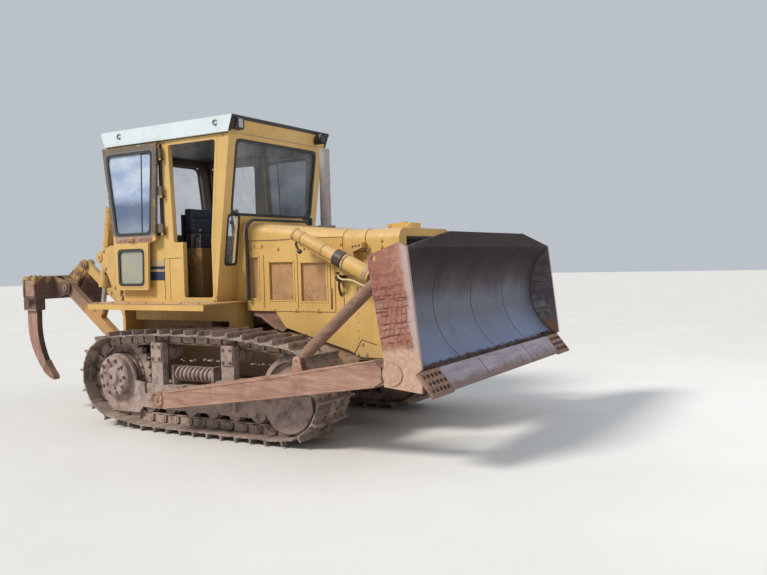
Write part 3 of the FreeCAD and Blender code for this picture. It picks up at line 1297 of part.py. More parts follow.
def door_hinge_brackets():
    """Left-hand brackets and pins that stand on the cab side for the door."""
    solids = []
    for z in HINGE_Z:
        top = z - HINGE_HEIGHT / 2 - SEAT_GAP
        shelf_x = (DOOR_HINGE_X + HINGE_SHELF_X[0], DOOR_HINGE_X + HINGE_SHELF_X[1])
        bracket = box(shelf_x, (CAB_HALF - 1, DOOR_HINGE_Y + HINGE_EDGE), (top - HINGE_SHELF, top))
        pin = Part.makeCylinder(HINGE_PIN, HINGE_HEIGHT + 1, V(DOOR_HINGE_X, DOOR_HINGE_Y, top - 1))
        solids.append(fuse([bracket, pin]))
    return solids


def swung_open(solid):
    """The right-hand door's shut shape turned half round its hinge."""
    turned = solid.copy()
    turned.rotate(V(DOOR_HINGE_X, -DOOR_HINGE_Y, 0), V(0, 0, 1), 180)
    return turned


# Blade


def circle_through(a, b, c):
    """Centre and radius of the circle through three (x, z) points."""
    d = 2 * (a[0] * (b[1] - c[1]) + b[0] * (c[1] - a[1]) + c[0] * (a[1] - b[1]))
    aa, bb, cc = (p[0] ** 2 + p[1] ** 2 for p in (a, b, c))
    x = (aa * (b[1] - c[1]) + bb * (c[1] - a[1]) + cc * (a[1] - b[1])) / d
    z = (aa * (c[0] - b[0]) + bb * (a[0] - c[0]) + cc * (b[0] - a[0])) / d
    return (x, z), math.hypot(a[0] - x, a[1] - z)


def behind_face(point, depth):
    """Point of the moldboard's face moved backwards, away from its centre of curvature."""
    centre, radius = circle_through(FACE_BOTTOM, FACE_MIDDLE, FACE_TOP)
    scale = (radius + depth) / radius
    return (centre[0] + (point[0] - centre[0]) * scale, centre[1] + (point[1] - centre[1]) * scale)


def face_x(z):
    """X of the moldboard's face at a height."""
    centre, radius = circle_through(FACE_BOTTOM, FACE_MIDDLE, FACE_TOP)
    return centre[0] - math.sqrt(radius ** 2 - (z - centre[1]) ** 2)


def edge_slab(width, thick, y):
    """Wear plate that runs up from the blade's tip to the foot of its face."""
    length = math.hypot(FACE_BOTTOM[0] - EDGE_TIP[0], FACE_BOTTOM[1] - EDGE_TIP[1])
    ux = (FACE_BOTTOM[0] - EDGE_TIP[0]) / length
    uz = (FACE_BOTTOM[1] - EDGE_TIP[1]) / length
    top = FACE_BOTTOM
    low = (top[0] - ux * width, top[1] - uz * width)
    back = (-uz * thick, ux * thick)
    return prism([low, top, (top[0] + back[0], top[1] + back[1]), (low[0] + back[0], low[1] + back[1])], y)


def cutting_edge():
    """Middle edge between two deeper end bits."""
    inner = BLADE_HALF - END_BIT_LENGTH
    solids = [edge_slab(EDGE_WIDTH, EDGE_THICK, (-inner + 1, inner - 1))]
    wider, longer = END_BIT_EXTRA
    bit = edge_slab(EDGE_WIDTH + wider, EDGE_THICK, (inner + 1, BLADE_HALF + longer))
    return solids + pair(bit)


def ahead_of_face(depth, y):
    """Everything in front of a surface that lies this far behind the moldboard's face."""
    low, top = behind_face(FACE_BOTTOM, depth), behind_face(FACE_TOP, depth)
    far = EDGE_TIP[0] + EDGE_WIDTH
    edges = [
        arc(low, behind_face(FACE_MIDDLE, depth), top),
        line(top, (far, top[1])),
        line((far, top[1]), (far, low[1])),
        line((far, low[1]), low),
    ]
    return edges_prism(edges, y)


def ears(centre, radius, y_middle, gap, plate):
    """Two lug plates about a crosswise pin, running forward into the moldboard's plate."""
    x, z = centre
    root = face_x(z) + EDGE_BED[0]
    solids = []
    for low in (y_middle - gap / 2 - plate, y_middle + gap / 2):
        y = (low, low + plate)
        spread = radius * LUG_SPREAD
        flank = prism([(x, z - radius), (root, z - spread), (root, z + spread), (x, z + radius)], y)
        lug = fuse([flank, disc(centre, radius, y)])
        solids.append(lug.cut(ahead_of_face(WELD_DEPTH, (y[0] - 1, y[1] + 1))))
    return solids


def moldboard():
    """Curved face plate with its stiffeners, end plates and lugs."""
    half = BLADE_HALF - END_PLATE
    t = MOLDBOARD_PLATE
    back_top = behind_face(FACE_TOP, t)
    crest = BLADE_CENTRE_TOP
    edges = [
        arc(FACE_BOTTOM, FACE_MIDDLE, FACE_TOP),
        line(FACE_TOP, (FACE_TOP[0], crest)),
        line((FACE_TOP[0], crest), (FACE_TOP[0] - t, crest)),
        line((FACE_TOP[0] - t, crest), (FACE_TOP[0] - t, back_top[1])),
        line((FACE_TOP[0] - t, back_top[1]), back_top),
        arc(back_top, behind_face(FACE_MIDDLE, t), behind_face(FACE_BOTTOM, t)),
        line(behind_face(FACE_BOTTOM, t), FACE_BOTTOM),
    ]
    plate = edges_prism(edges, (-half, half))
    corner = [(BLADE_SHOULDER, crest), (BLADE_HALF, FACE_TOP[1] + 4), (BLADE_HALF, crest + CREST_CUT),
              (BLADE_SHOULDER, crest + CREST_CUT)]
    shoulders = pair(front_prism(corner, (FACE_TOP[0] - EDGE_WIDTH, FACE_TOP[0] + EDGE_WIDTH)))
    beams = [prism(outline, (-half, half)) for outline in (LOWER_BEAM, MIDDLE_BEAM, UPPER_BEAM)]
    ahead = ahead_of_face(WELD_DEPTH, (-half - 1, half + 1))
    pieces = [cut(plate, shoulders)] + [beam.cut(ahead) for beam in beams]
    for end in pair(prism(END_PLATE_OUTLINE, (half, BLADE_HALF))):
        pieces.append(end)
    for side in (1, -1):
        for lug in ears(LIFT_EYE, LIFT_EAR_RADIUS, side * LIFT_Y, LIFT_EAR_GAP, EAR_PLATE):
            pieces.append(lug)
        for lug in ears(BRACE_HIGH, BRACE_LUG_RADIUS[1], side * BRACE_Y, BRACE_LUG_GAP, BRACE_LUG):
            pieces.append(lug)
        inner_plate, outer_plate = FRONT_LUG_PLATE
        outer_lug = (ARM_OUTER + LUG_CLEARANCE, ARM_OUTER + LUG_CLEARANCE + outer_plate)
        lug_face = ARM_INNER + TONGUE_INSET[0] - INNER_LUG_PLAY
        inner_lug = (lug_face - inner_plate, lug_face)
        for y in (outer_lug, inner_lug):
            y_here = y if side > 0 else (-y[1], -y[0])
            pieces.append(disc(FRONT_PIN, FRONT_LUG_RADIUS, y_here))
            pieces.append(prism(FRONT_LUG_OUTLINE, y_here))
    solid = fuse(pieces)
    rear, beyond, low = TONGUE_CLEARANCE
    reach = TONGUE_RADIUS + beyond
    tongue = box((rear, FRONT_PIN[0] + reach), (inner_lug[1], outer_lug[0]), (low, FRONT_PIN[1] + reach))
    tools = pair(tongue)
    bore = disc(FRONT_PIN, FRONT_PIN_RADIUS + PIN_GAP, (inner_lug[0] - 1, BLADE_HALF + 1))
    tools += pair(bore)
    tools += pair(disc(BRACE_HIGH, BRACE_PIN + PIN_GAP, (ARM_INNER, ARM_OUTER)))
    tools += pair(disc(LIFTING_EYE, LIFTING_EYE_RADIUS, (half - 1, BLADE_HALF + 1)))
    below, before = EDGE_BED
    for thick in (EDGE_THICK, -before):
        tools.append(edge_slab(EDGE_WIDTH + below, thick, (-BLADE_HALF - 1, BLADE_HALF + 1)))
    return cut(solid, tools)


def front_pins():
    """Left-hand pin that holds the push arm's tongue, with its round cap."""
    inner = ARM_INNER + TONGUE_INSET[0] - INNER_LUG_PLAY - FRONT_LUG_PLATE[0]
    pin = disc(FRONT_PIN, FRONT_PIN_RADIUS, (inner, BLADE_HALF + 2))
    cap = disc(FRONT_PIN, FRONT_PIN_CAP, (BLADE_HALF, BLADE_HALF + CAP_THICK))
    return fuse([pin, cap])


def push_arm():
    """Left-hand push arm from its rear socket to the tongue at the blade."""
    x, z = ARM_PIVOT
    outline = [ARM_REAR[0], ARM_FRONT[0], ARM_NOSE[0], ARM_NOSE[1], ARM_FRONT[1], ARM_REAR[1]]
    beam = prism(outline, (ARM_INNER, ARM_OUTER))
    socket_y = (ARM_INNER, ARM_OUTER - SOCKET_SHORT)
    neck = prism([(x, z - NECK_HALF), ARM_NECK[0], ARM_NECK[1], (x, z + NECK_HALF)], socket_y)
    socket = disc(ARM_PIVOT, ARM_SOCKET, socket_y)
    tongue_y = (ARM_INNER + TONGUE_INSET[0], ARM_OUTER - TONGUE_INSET[1])
    x, z = FRONT_PIN
    tongue = prism([TONGUE_ROOT[0], (x, z - TONGUE_RADIUS), (x, z + TONGUE_RADIUS), TONGUE_ROOT[1]], tongue_y)
    pieces = [beam, neck, socket, tongue, disc(FRONT_PIN, TONGUE_RADIUS, tongue_y)]
    lug_x, lug_z = BRACE_LOW
    feet = [(lug_x + dx, foot_z) for dx, foot_z in BRACE_LUG_FOOT]
    for low in (BRACE_Y - BRACE_LUG_GAP / 2 - BRACE_LUG, BRACE_Y + BRACE_LUG_GAP / 2):
        y = (low, low + BRACE_LUG)
        flank = prism(feet + [(lug_x + BRACE_LUG_HALF, lug_z), (lug_x - BRACE_LUG_HALF, lug_z)], y)
        pieces.append(fuse([flank, disc(BRACE_LOW, BRACE_LUG_RADIUS[0], y)]))
    across = (ARM_INNER - 1, ARM_OUTER + 1)
    tools = [
        disc(ARM_PIVOT, TRUNNION_RADIUS + PIN_GAP, across),
        disc(FRONT_PIN, FRONT_PIN_RADIUS + PIN_GAP, across),
        disc(BRACE_LOW, BRACE_PIN + PIN_GAP, across),
    ]
    return cut(fuse(pieces), tools)


def brace():
    """Left-hand brace: tube with a screw and eye at its foot and an eye at its head."""
    length = math.hypot(BRACE_HIGH[0] - BRACE_LOW[0], BRACE_HIGH[1] - BRACE_LOW[1])
    nut, tube, head = BRACE_SCREW_SPAN
    at = [along(BRACE_LOW, BRACE_HIGH, s) for s in (0.0, nut, tube, length - head, length)]
    points = [V(x, BRACE_Y, z) for x, z in at]
    eye_y = (BRACE_Y - BRACE_EYE_HALF, BRACE_Y + BRACE_EYE_HALF)
    pin_half = BRACE_LUG_GAP / 2 + BRACE_LUG
    pin_y = (BRACE_Y - pin_half, BRACE_Y + pin_half)
    return fuse([
        rod(points[0], points[2], BRACE_SCREW),
        rod(points[1], points[2], BRACE_RADIUS - BRACE_NUT_STEP),
        rod(points[2], points[3], BRACE_RADIUS),
        rod(points[3], points[4], BRACE_SCREW),
        disc(BRACE_LOW, BRACE_EYES[0], eye_y),
        disc(BRACE_HIGH, BRACE_EYES[1], eye_y),
        disc(BRACE_LOW, BRACE_PIN, pin_y),
        disc(BRACE_HIGH, BRACE_PIN, pin_y),
    ])


# Cylinders


def cylinder_frame(trunnion, eye, y):
    """Trunnion point, unit direction to the rod eye and the distance between them."""
    axis = V(eye[0] - trunnion[0], 0, eye[1] - trunnion[1])
    length = axis.Length
    return V(trunnion[0], y, trunnion[1]), axis * (1 / length), length


def lift_barrel():
    """Left-hand lift cylinder's barrel with its thicker head and its trunnion pin."""
    at, axis, _ = cylinder_frame(LIFT_TRUNNION, LIFT_EYE, LIFT_Y)
    head_start, head_end = LIFT_HEAD_SPAN
    tube = rod(at - axis * LIFT_REACH_BACK, at + axis * head_end, LIFT_BARREL)
    head = rod(at + axis * head_start, at + axis * head_end, LIFT_HEAD)
    collar = rod(at - axis * LIFT_COLLAR_HALF, at + axis * LIFT_COLLAR_HALF, LIFT_HEAD)
    off, rim = LIFT_SHOULDER
    pin = disc(LIFT_TRUNNION, LIFT_PIN, (NOSE_HALF + LIFT_PIN_INSET, LIFT_Y))
    shoulder = disc(LIFT_TRUNNION, LIFT_PIN + rim, (NOSE_HALF + LIFT_BRACKET + off, LIFT_Y))
    pipe_radius, pipe_drop, pipe_rear, pipe_front = OIL_PIPE
    under = V(0, 0, -LIFT_BARREL - pipe_drop)
    pipe_start = at - axis * (LIFT_REACH_BACK - pipe_rear) + under
    oil_pipe = rod(pipe_start, at + axis * pipe_front + under, pipe_radius)
    stub_radius, stub_drop, stub_rear = OIL_STUB
    stub_top = at - axis * (LIFT_REACH_BACK - stub_rear)
    stub = rod(stub_top - V(0, 0, LIFT_BARREL + stub_drop), stub_top, stub_radius)
    bore = rod(at - axis * (LIFT_REACH_BACK - LIFT_END_WALL), at + axis * (head_end - LIFT_GLAND), LIFT_BORE)
    gland = rod(at, at + axis * (head_end + 1), LIFT_ROD + SLIDE_PLAY)
    return cut(fuse([tube, head, collar, pin, shoulder, oil_pipe, stub]), [bore, gland])


def lift_rod():
    """Left-hand lift rod with its eye; it turns about no pin of its own."""
    at, axis, length = cylinder_frame(LIFT_TRUNNION, LIFT_EYE, LIFT_Y)
    eye = at + axis * length
    half = LIFT_EYE_WIDTH / 2
    bar = rod(eye - axis * LIFT_ROD_LENGTH, eye, LIFT_ROD)
    rear = eye - axis * LIFT_ROD_LENGTH
    piston = rod(rear, rear + axis * LIFT_PISTON, LIFT_BORE - SLIDE_PLAY)
    return fuse([bar, piston, disc(LIFT_EYE, LIFT_EYE_RADIUS, (LIFT_Y - half, LIFT_Y + half))])


def lift_bracket():
    """Left-hand trunnion bracket bolted on the nose's cheek, with its drilled ear above."""
    y = (NOSE_HALF, NOSE_HALF + LIFT_BRACKET)
    x, z = LIFT_TRUNNION
    plate = prism([(x + dx, z + dz) for dx, dz in BRACKET_OUTLINE], y)
    across = (y[0] - 1, y[1] + 1)
    tools = [disc(LIFT_TRUNNION, LIFT_PIN + PIN_GAP, across)]
    first_x, first_z, step_x, step_z, radius = BRACKET_HOLE
    for i in range(3):
        tools.append(disc((x + first_x + step_x * i, z + first_z + step_z * i), radius, across))
    return cut(fuse([plate, disc(LIFT_TRUNNION, LIFT_PIN + BRACKET_BOSS, y)]), tools)


# Ripper


def upper_pin(lower_pin):
    return (lower_pin[0] + UPPER_OFFSET[0], lower_pin[1] + UPPER_OFFSET[1])


def cheeks(lower, lower_radius, upper):
    """Plates beside the left-hand links: y of each, the (x, z) of its pin and its radius there."""
    links = ((LOWER_LINK_Y, lower, lower_radius), (UPPER_LINK_Y, upper, UPPER_BOSS))
    for (inner, outer), pin, radius in links:
        yield (inner - CHEEK_PLAY - CHEEK, inner - CHEEK_PLAY), pin, radius
        yield (outer + CHEEK_PLAY, outer + CHEEK_PLAY + CHEEK), pin, radius


def ripper_bracket():
    """Rear plates on the case: link pivots below, the cylinders' trunnions above."""
    lower, upper = LOWER_PIVOT, upper_pin(LOWER_PIVOT)
    wall = CASE_X[0]
    base_half = RIP_Y + BRACKET_SIDE
    base = box((wall - BRACKET_PLATE, wall), (-base_half, base_half), BRACKET_Z)
    window_half, window_low, window_top = BRACKET_WINDOW
    across = (wall - BRACKET_PLATE - 1, wall + 1)
    base = base.cut(box(across, (-window_half, window_half), (window_low, window_top)))
    drive_y = (HULL_HALF - 1, FINAL_DRIVE_OUTER)
    drives = pair(disc((SPROCKET_X, SPROCKET_Z), FINAL_DRIVE_RADIUS + DRIVE_CLEARANCE, drive_y))
    pieces = [cut(base, drives)]
    back, spread = FLANK_ROOT
    for y, (x, z), radius in cheeks(lower, LOWER_BOSS, upper):
        flank = prism([(wall - back, z - radius - spread), (wall - back, z + radius + spread),
                       (x, z + radius), (x, z - radius)], y)
        pieces += pair(fuse([flank, disc((x, z), radius, y)]))
    x, z = RIP_TRUNNION
    elbow_x, elbow_z = TOWER_ELBOW
    step_high, step_low = TOWER_STEP
    inner = RIP_Y - RIP_PIN_REACH - RIP_BARREL
    for low in (inner, RIP_Y + RIP_BARREL + TOWER_GAP):
        y = (low, low + TOWER_PLATE)
        tower = prism([
            (wall, TOWER_FOOT[1]), (wall - BRACKET_PLATE, TOWER_FOOT[1]), (wall - elbow_x, z - elbow_z),
            (x, z - TOWER_BOSS), (x, z + TOWER_BOSS), (wall - TOWER_HEAD[0], TOWER_TOP),
            (wall - TOWER_HEAD[1], TOWER_TOP), (wall - TOWER_FOOT[0], step_high), (wall, step_low),
        ], y)
        under_cab = box((PLATFORM_REAR_X - SEAT_GAP, wall + 1), (y[0] - 1, y[1] + 1), CAB_CLEARANCE_Z)
        pieces += pair(fuse([tower.cut(under_cab), disc(RIP_TRUNNION, TOWER_BOSS, y)]))
    tie_half = RIP_Y + RIP_BARREL + RIP_PIN_REACH
    tie = box((wall - TIE_X[0], wall - TIE_X[1]), (-tie_half, tie_half), TIE_Z)
    pins = ((lower, LINK_PIN), (upper, LINK_PIN), (RIP_TRUNNION, LINK_PIN))
    tools = [disc(pin, radius + PIN_GAP, (-tie_half - 1, tie_half + 1)) for pin, radius in pins]
    return cut(fuse(pieces + [tie]), tools)


def link(a, b, half, y, plate):
    """Ripper link with its two pins, which reach a plate's width past each face."""
    pin_y = (y[0] - plate, y[1] + plate)
    return fuse([link_plate(a, b, half, y), disc(a, LINK_PIN, pin_y), disc(b, LINK_PIN, pin_y)])


def lower_link():
    """Left-hand lower link with the two ears for the cylinder's rod."""
    solids = [link(LOWER_PIVOT, LOWER_END, LINK_HALF, LOWER_LINK_Y, CHEEK_PLAY + CHEEK)]
    foot = (RIP_EYE[0] + RIP_EAR_FOOT[0], RIP_EYE[1] + RIP_EAR_FOOT[1])
    for low in (RIP_Y - RIP_EAR_GAP / 2 - RIP_EAR, RIP_Y + RIP_EAR_GAP / 2):
        solids.append(link_plate(foot, RIP_EYE, RIP_EAR_HALF, (low, low + RIP_EAR)))
    return fuse(solids)


def upper_link():
    return link(upper_pin(LOWER_PIVOT), upper_pin(LOWER_END), UPPER_LINK_HALF, UPPER_LINK_Y,
                CHEEK_PLAY + CHEEK)


def ripper_beam():
    """Cross beam with its forward arms and the pockets for three shanks."""
    beam = box(BEAM_X, (-BEAM_HALF, BEAM_HALF), BEAM_Z)
    lower, upper = LOWER_END, upper_pin(LOWER_END)
    pieces = [beam]
    front = BEAM_X[1]
    for y, (x, z), radius in cheeks(lower, BEAM_BOSS, upper):
        flank = prism([(front - 1, BEAM_Z[0]), (x, z - radius), (x, z + radius), (front - 1, BEAM_Z[1])], y)
        pieces += pair(fuse([flank, disc((x, z), radius, y)]))
    pocket_x = (SHANK_TOP_X[0] - POCKET_WALL, SHANK_TOP_X[1] + POCKET_WALL)
    half = SHANK_THICK / 2 + POCKET_WALL
    slots = []
    for y in (SHANK_Y, 0.0, -SHANK_Y):
        pieces.append(box(pocket_x, (y - half, y + half), (POCKET_BOTTOM, BEAM_Z[0] + 1)))
        slots.append(box((SHANK_TOP_X[0] - SEAT_GAP, SHANK_TOP_X[1] + SEAT_GAP),
                         (y - SHANK_THICK / 2 - SEAT_GAP, y + SHANK_THICK / 2 + SEAT_GAP),
                         (POCKET_BOTTOM - 1, BEAM_Z[0])))
    slots += [disc(pin, LINK_PIN + PIN_GAP, (-BEAM_HALF, BEAM_HALF)) for pin in (lower, upper)]
    return cut(fuse(pieces), slots)


def ripper_shank():
    """Curved tooth held in the right-hand pocket."""
    y = (SHANK_Y - SHANK_THICK / 2, SHANK_Y + SHANK_THICK / 2)
    rear, front = SHANK_TOP_X
    top = BEAM_Z[0] - SEAT_GAP
    back, back_middle, back_low, tip, tip_top, front_low, front_middle, front_high = SHANK_OUTLINE
    edges = [
        line((rear, top), back),
        arc(back, back_middle, back_low),
        line(back_low, tip),
        line(tip, tip_top),
        line(tip_top, front_low),
        arc(front_low, front_middle, front_high),
        line(front_high, (front, top)),
        line((front, top), (rear, top)),
    ]
    return edges_prism(edges, y)


def ripper_barrel():
    """Left-hand ripper cylinder's barrel with its trunnion pins."""
    at, axis, _ = cylinder_frame(RIP_TRUNNION, RIP_EYE, RIP_Y)
    tube = rod(at - axis * RIP_REACH_UP, at + axis * RIP_REACH_DOWN, RIP_BARREL)
    cap_length, cap_rim = RIP_CAP
    ring_length, ring_rim = RIP_GLAND_RING
    cap = rod(at - axis * RIP_REACH_UP, at - axis * (RIP_REACH_UP - cap_length), RIP_BARREL + cap_rim)
    foot = at + axis * RIP_REACH_DOWN
    gland_ring = rod(foot - axis * ring_length, foot, RIP_BARREL + ring_rim)
    pin_half = RIP_BARREL + RIP_PIN_REACH
    pins = disc(RIP_TRUNNION, LINK_PIN, (RIP_Y - pin_half, RIP_Y + pin_half))
    bore = rod(at - axis * (RIP_REACH_UP - RIP_END_WALL), at + axis * (RIP_REACH_DOWN - RIP_GLAND), RIP_BORE)
    gland = rod(at, at + axis * (RIP_REACH_DOWN + 1), RIP_ROD + SLIDE_PLAY)
    return cut(fuse([tube, cap, gland_ring, pins]), [bore, gland])


def ripper_rod():
    """Left-hand ripper rod with its eye."""
    at, axis, length = cylinder_frame(RIP_TRUNNION, RIP_EYE, RIP_Y)
    eye = at + axis * length
    half = RIP_EYE_WIDTH / 2
    bar = rod(eye - axis * RIP_ROD_LENGTH, eye, RIP_ROD)
    rear = eye - axis * RIP_ROD_LENGTH
    piston = rod(rear, rear + axis * RIP_PISTON, RIP_BORE - SLIDE_PLAY)
    return fuse([bar, piston, disc(RIP_EYE, RIP_EYE_RADIUS, (RIP_Y - half, RIP_Y + half))])


# Assembly


def machine():
    """Every node's solids, in the modelling frame."""
    left_track = track()
    left_frame = track_frame()
    running = {"sprockets": [sprocket()], "idlers": [idler()], "rollers": rollers(),
               "recoil_springs": [recoil_spring()]}
    door, panes = door_shut(), door_panes()
    dash, console = controls()
    side = cab_side()
    for bracket in door_hinge_brackets():
        side = side.fuse(bracket)
    nodes = {
        "main_frame": [main_frame()],
        "rear_case": [rear_case()],
        "final_drives": pair(final_drives()),
        "cross_beams": cross_beams(),
        "engine_block": [engine_block()],
        "radiator": [radiator()],
        "hood": [hood()],
        "side_panels": pair(side_panels()),
        "vent_panels": [twin for sheet in vent_panels() for twin in pair(sheet)],
        "nose_guard": [nose_guard()],
        "nose_grille": [nose_grille()],
        "exhaust_stack": [exhaust_stack()],
        "lift_brackets": pair(lift_bracket()),
        "platform": [platform()],
        "cowl": [cowl()],
        "cab_front": [cab_front()],
        "cab_side_left": [side],
        "cab_side_right": [mirrored(side)],
        "cab_rear": [cab_rear()],
        "cab_roof": [cab_roof()],
        "cab_glass": cab_glass(),
        "roof_lamps": roof_lamps(),
        "seat_base": [seat_base()],
        "seat_cushions": seat_cushions(),
        "dash": [dash],
        "console": [console],
        "track_left": [left_track],
        "track_right": [mirrored(left_track)],
        "track_frame_left": [left_frame],
        "track_frame_right": [mirrored(left_frame)],
        "ripper_bracket": [ripper_bracket()],
        "moldboard": [moldboard()],
        "cutting_edge": cutting_edge(),
        "push_arms": pair(push_arm()),
        "blade_pins": pair(front_pins()),
        "braces": pair(brace()),
        "lift_barrels": pair(lift_barrel()),
        "lift_rods": pair(lift_rod()),
        "ripper_lower_links": pair(lower_link()),
        "ripper_upper_links": pair(upper_link()),
        "ripper_beam": [ripper_beam()],
        "ripper_shank": [ripper_shank()],
        "ripper_barrels": pair(ripper_barrel()),
        "ripper_rods": pair(ripper_rod()),
        "door_left": [door],
        "door_left_glass": panes,
        "door_right": [swung_open(mirrored(door))],
        "door_right_glass": [swung_open(mirrored(pane)) for pane in panes],
    }
    for name, solids in running.items():
        nodes[name] = [twin for solid in solids for twin in pair(solid)]
    return nodes


def origin_shift(nodes):
    """How far the machine moves along X to stand centred over its origin."""
    bounds = FreeCAD.BoundBox()
    for solids in nodes.values():
        for solid in solids:
            bounds.add(solid.BoundBox)
    return -(bounds.XMin + bounds.XMax) / 2


def write_parts():
    os.makedirs("parts", exist_ok=True)
    nodes = machine()
    shift = origin_shift(nodes)
    for name, solids in nodes.items():
        shape = solids[0] if len(solids) == 1 else Part.makeCompound(solids)
        shape = shape.copy()
        shape.translate(V(shift, 0, 0))
        shape.exportStep("parts/" + name + ".step")
    print("moved along X by", shift)
    print("nodes:", len(nodes))


write_parts()
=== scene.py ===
"""Looks of the crawler dozer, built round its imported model.

Pieces are drawn in millimetres from the machine's own datum (+X forward, +Y left, +Z up)
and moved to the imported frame, in metres, when a Form is finished.
"""
import math
import random

import bmesh
import bpy
from mathutils import Matrix, Vector


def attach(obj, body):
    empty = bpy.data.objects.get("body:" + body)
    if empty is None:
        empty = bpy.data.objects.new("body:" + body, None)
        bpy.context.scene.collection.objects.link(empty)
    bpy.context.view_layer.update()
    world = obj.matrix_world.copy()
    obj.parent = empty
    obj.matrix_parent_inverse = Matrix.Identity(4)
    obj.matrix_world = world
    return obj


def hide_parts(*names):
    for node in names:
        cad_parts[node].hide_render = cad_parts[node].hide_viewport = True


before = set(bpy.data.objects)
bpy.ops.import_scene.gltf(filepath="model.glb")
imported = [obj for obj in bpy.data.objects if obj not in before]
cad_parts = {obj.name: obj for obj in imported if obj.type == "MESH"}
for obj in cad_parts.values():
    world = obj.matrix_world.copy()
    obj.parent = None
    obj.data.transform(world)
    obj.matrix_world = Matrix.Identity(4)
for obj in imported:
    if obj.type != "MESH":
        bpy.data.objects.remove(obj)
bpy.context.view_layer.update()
DATUM = 242.4425523137861     # millimetres from the machine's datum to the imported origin, along X
CHANCE = random.Random(7)


def to_frame(point):
    return Vector(((point[0] + DATUM) / 1000, point[1] / 1000, point[2] / 1000))


# Camera and light

FOCAL_PIXELS = 789.6
PHOTO_WIDTH = 767
EYE = Vector((5.471, -6.563, 1.633))
AZIMUTH, ELEVATION, ROLL = (math.radians(a) for a in (31.07, 2.109, 1.488))


def add_camera():
    camera = bpy.data.cameras.new("camera")
    camera.sensor_width = 36.0
    camera.lens = FOCAL_PIXELS / PHOTO_WIDTH * camera.sensor_width
    camera.clip_end = 200.0
    shot = bpy.data.objects.new("camera", camera)
    bpy.context.collection.objects.link(shot)
    ahead = Vector((-math.sin(AZIMUTH) * math.cos(ELEVATION), math.cos(AZIMUTH) * math.cos(ELEVATION),
                    -math.sin(ELEVATION)))
    right = Vector((math.cos(AZIMUTH), math.sin(AZIMUTH), 0.0))
    up = right.cross(ahead)
    tilted_right = right * math.cos(ROLL) - up * math.sin(ROLL)
    tilted_up = right * math.sin(ROLL) + up * math.cos(ROLL)
    turn = Matrix((tilted_right, tilted_up, -ahead)).transposed().to_4x4()
    shot.matrix_world = Matrix.Translation(EYE) @ turn
    bpy.context.scene.camera = shot


def add_light(name, kind, power, colour, direction, place=(0.0, 0.0, 0.0), **settings):
    lamp = bpy.data.lights.new(name, kind)
    lamp.energy = power
    lamp.color = colour
    for key, value in settings.items():
        setattr(lamp, key, value)
    holder = bpy.data.objects.new(name, lamp)
    bpy.context.collection.objects.link(holder)
    holder.location = place
    holder.rotation_euler = Vector(direction).to_track_quat("-Z", "Y").to_euler()


def add_studio():
    world = bpy.data.worlds.new("studio")
    bpy.context.scene.world = world
    world.use_nodes = True
    backdrop = world.node_tree.nodes["Background"]
    backdrop.inputs["Color"].default_value = (0.80, 0.86, 0.93, 1.0)
    backdrop.inputs["Strength"].default_value = 0.62
    add_light("sun", "SUN", 3.1, (1.0, 0.95, 0.88), (0.45, 0.72, -0.78), angle=math.radians(14.0))
    place, aim = Vector((8.0, 2.0, 5.0)), Vector((0.0, 0.0, 1.2))
    add_light("fill", "AREA", 160.0, (0.92, 0.95, 1.0), aim - place, place, shape="DISK", size=5.0)
    bpy.context.scene.view_settings.view_transform = "Standard"


# Materials

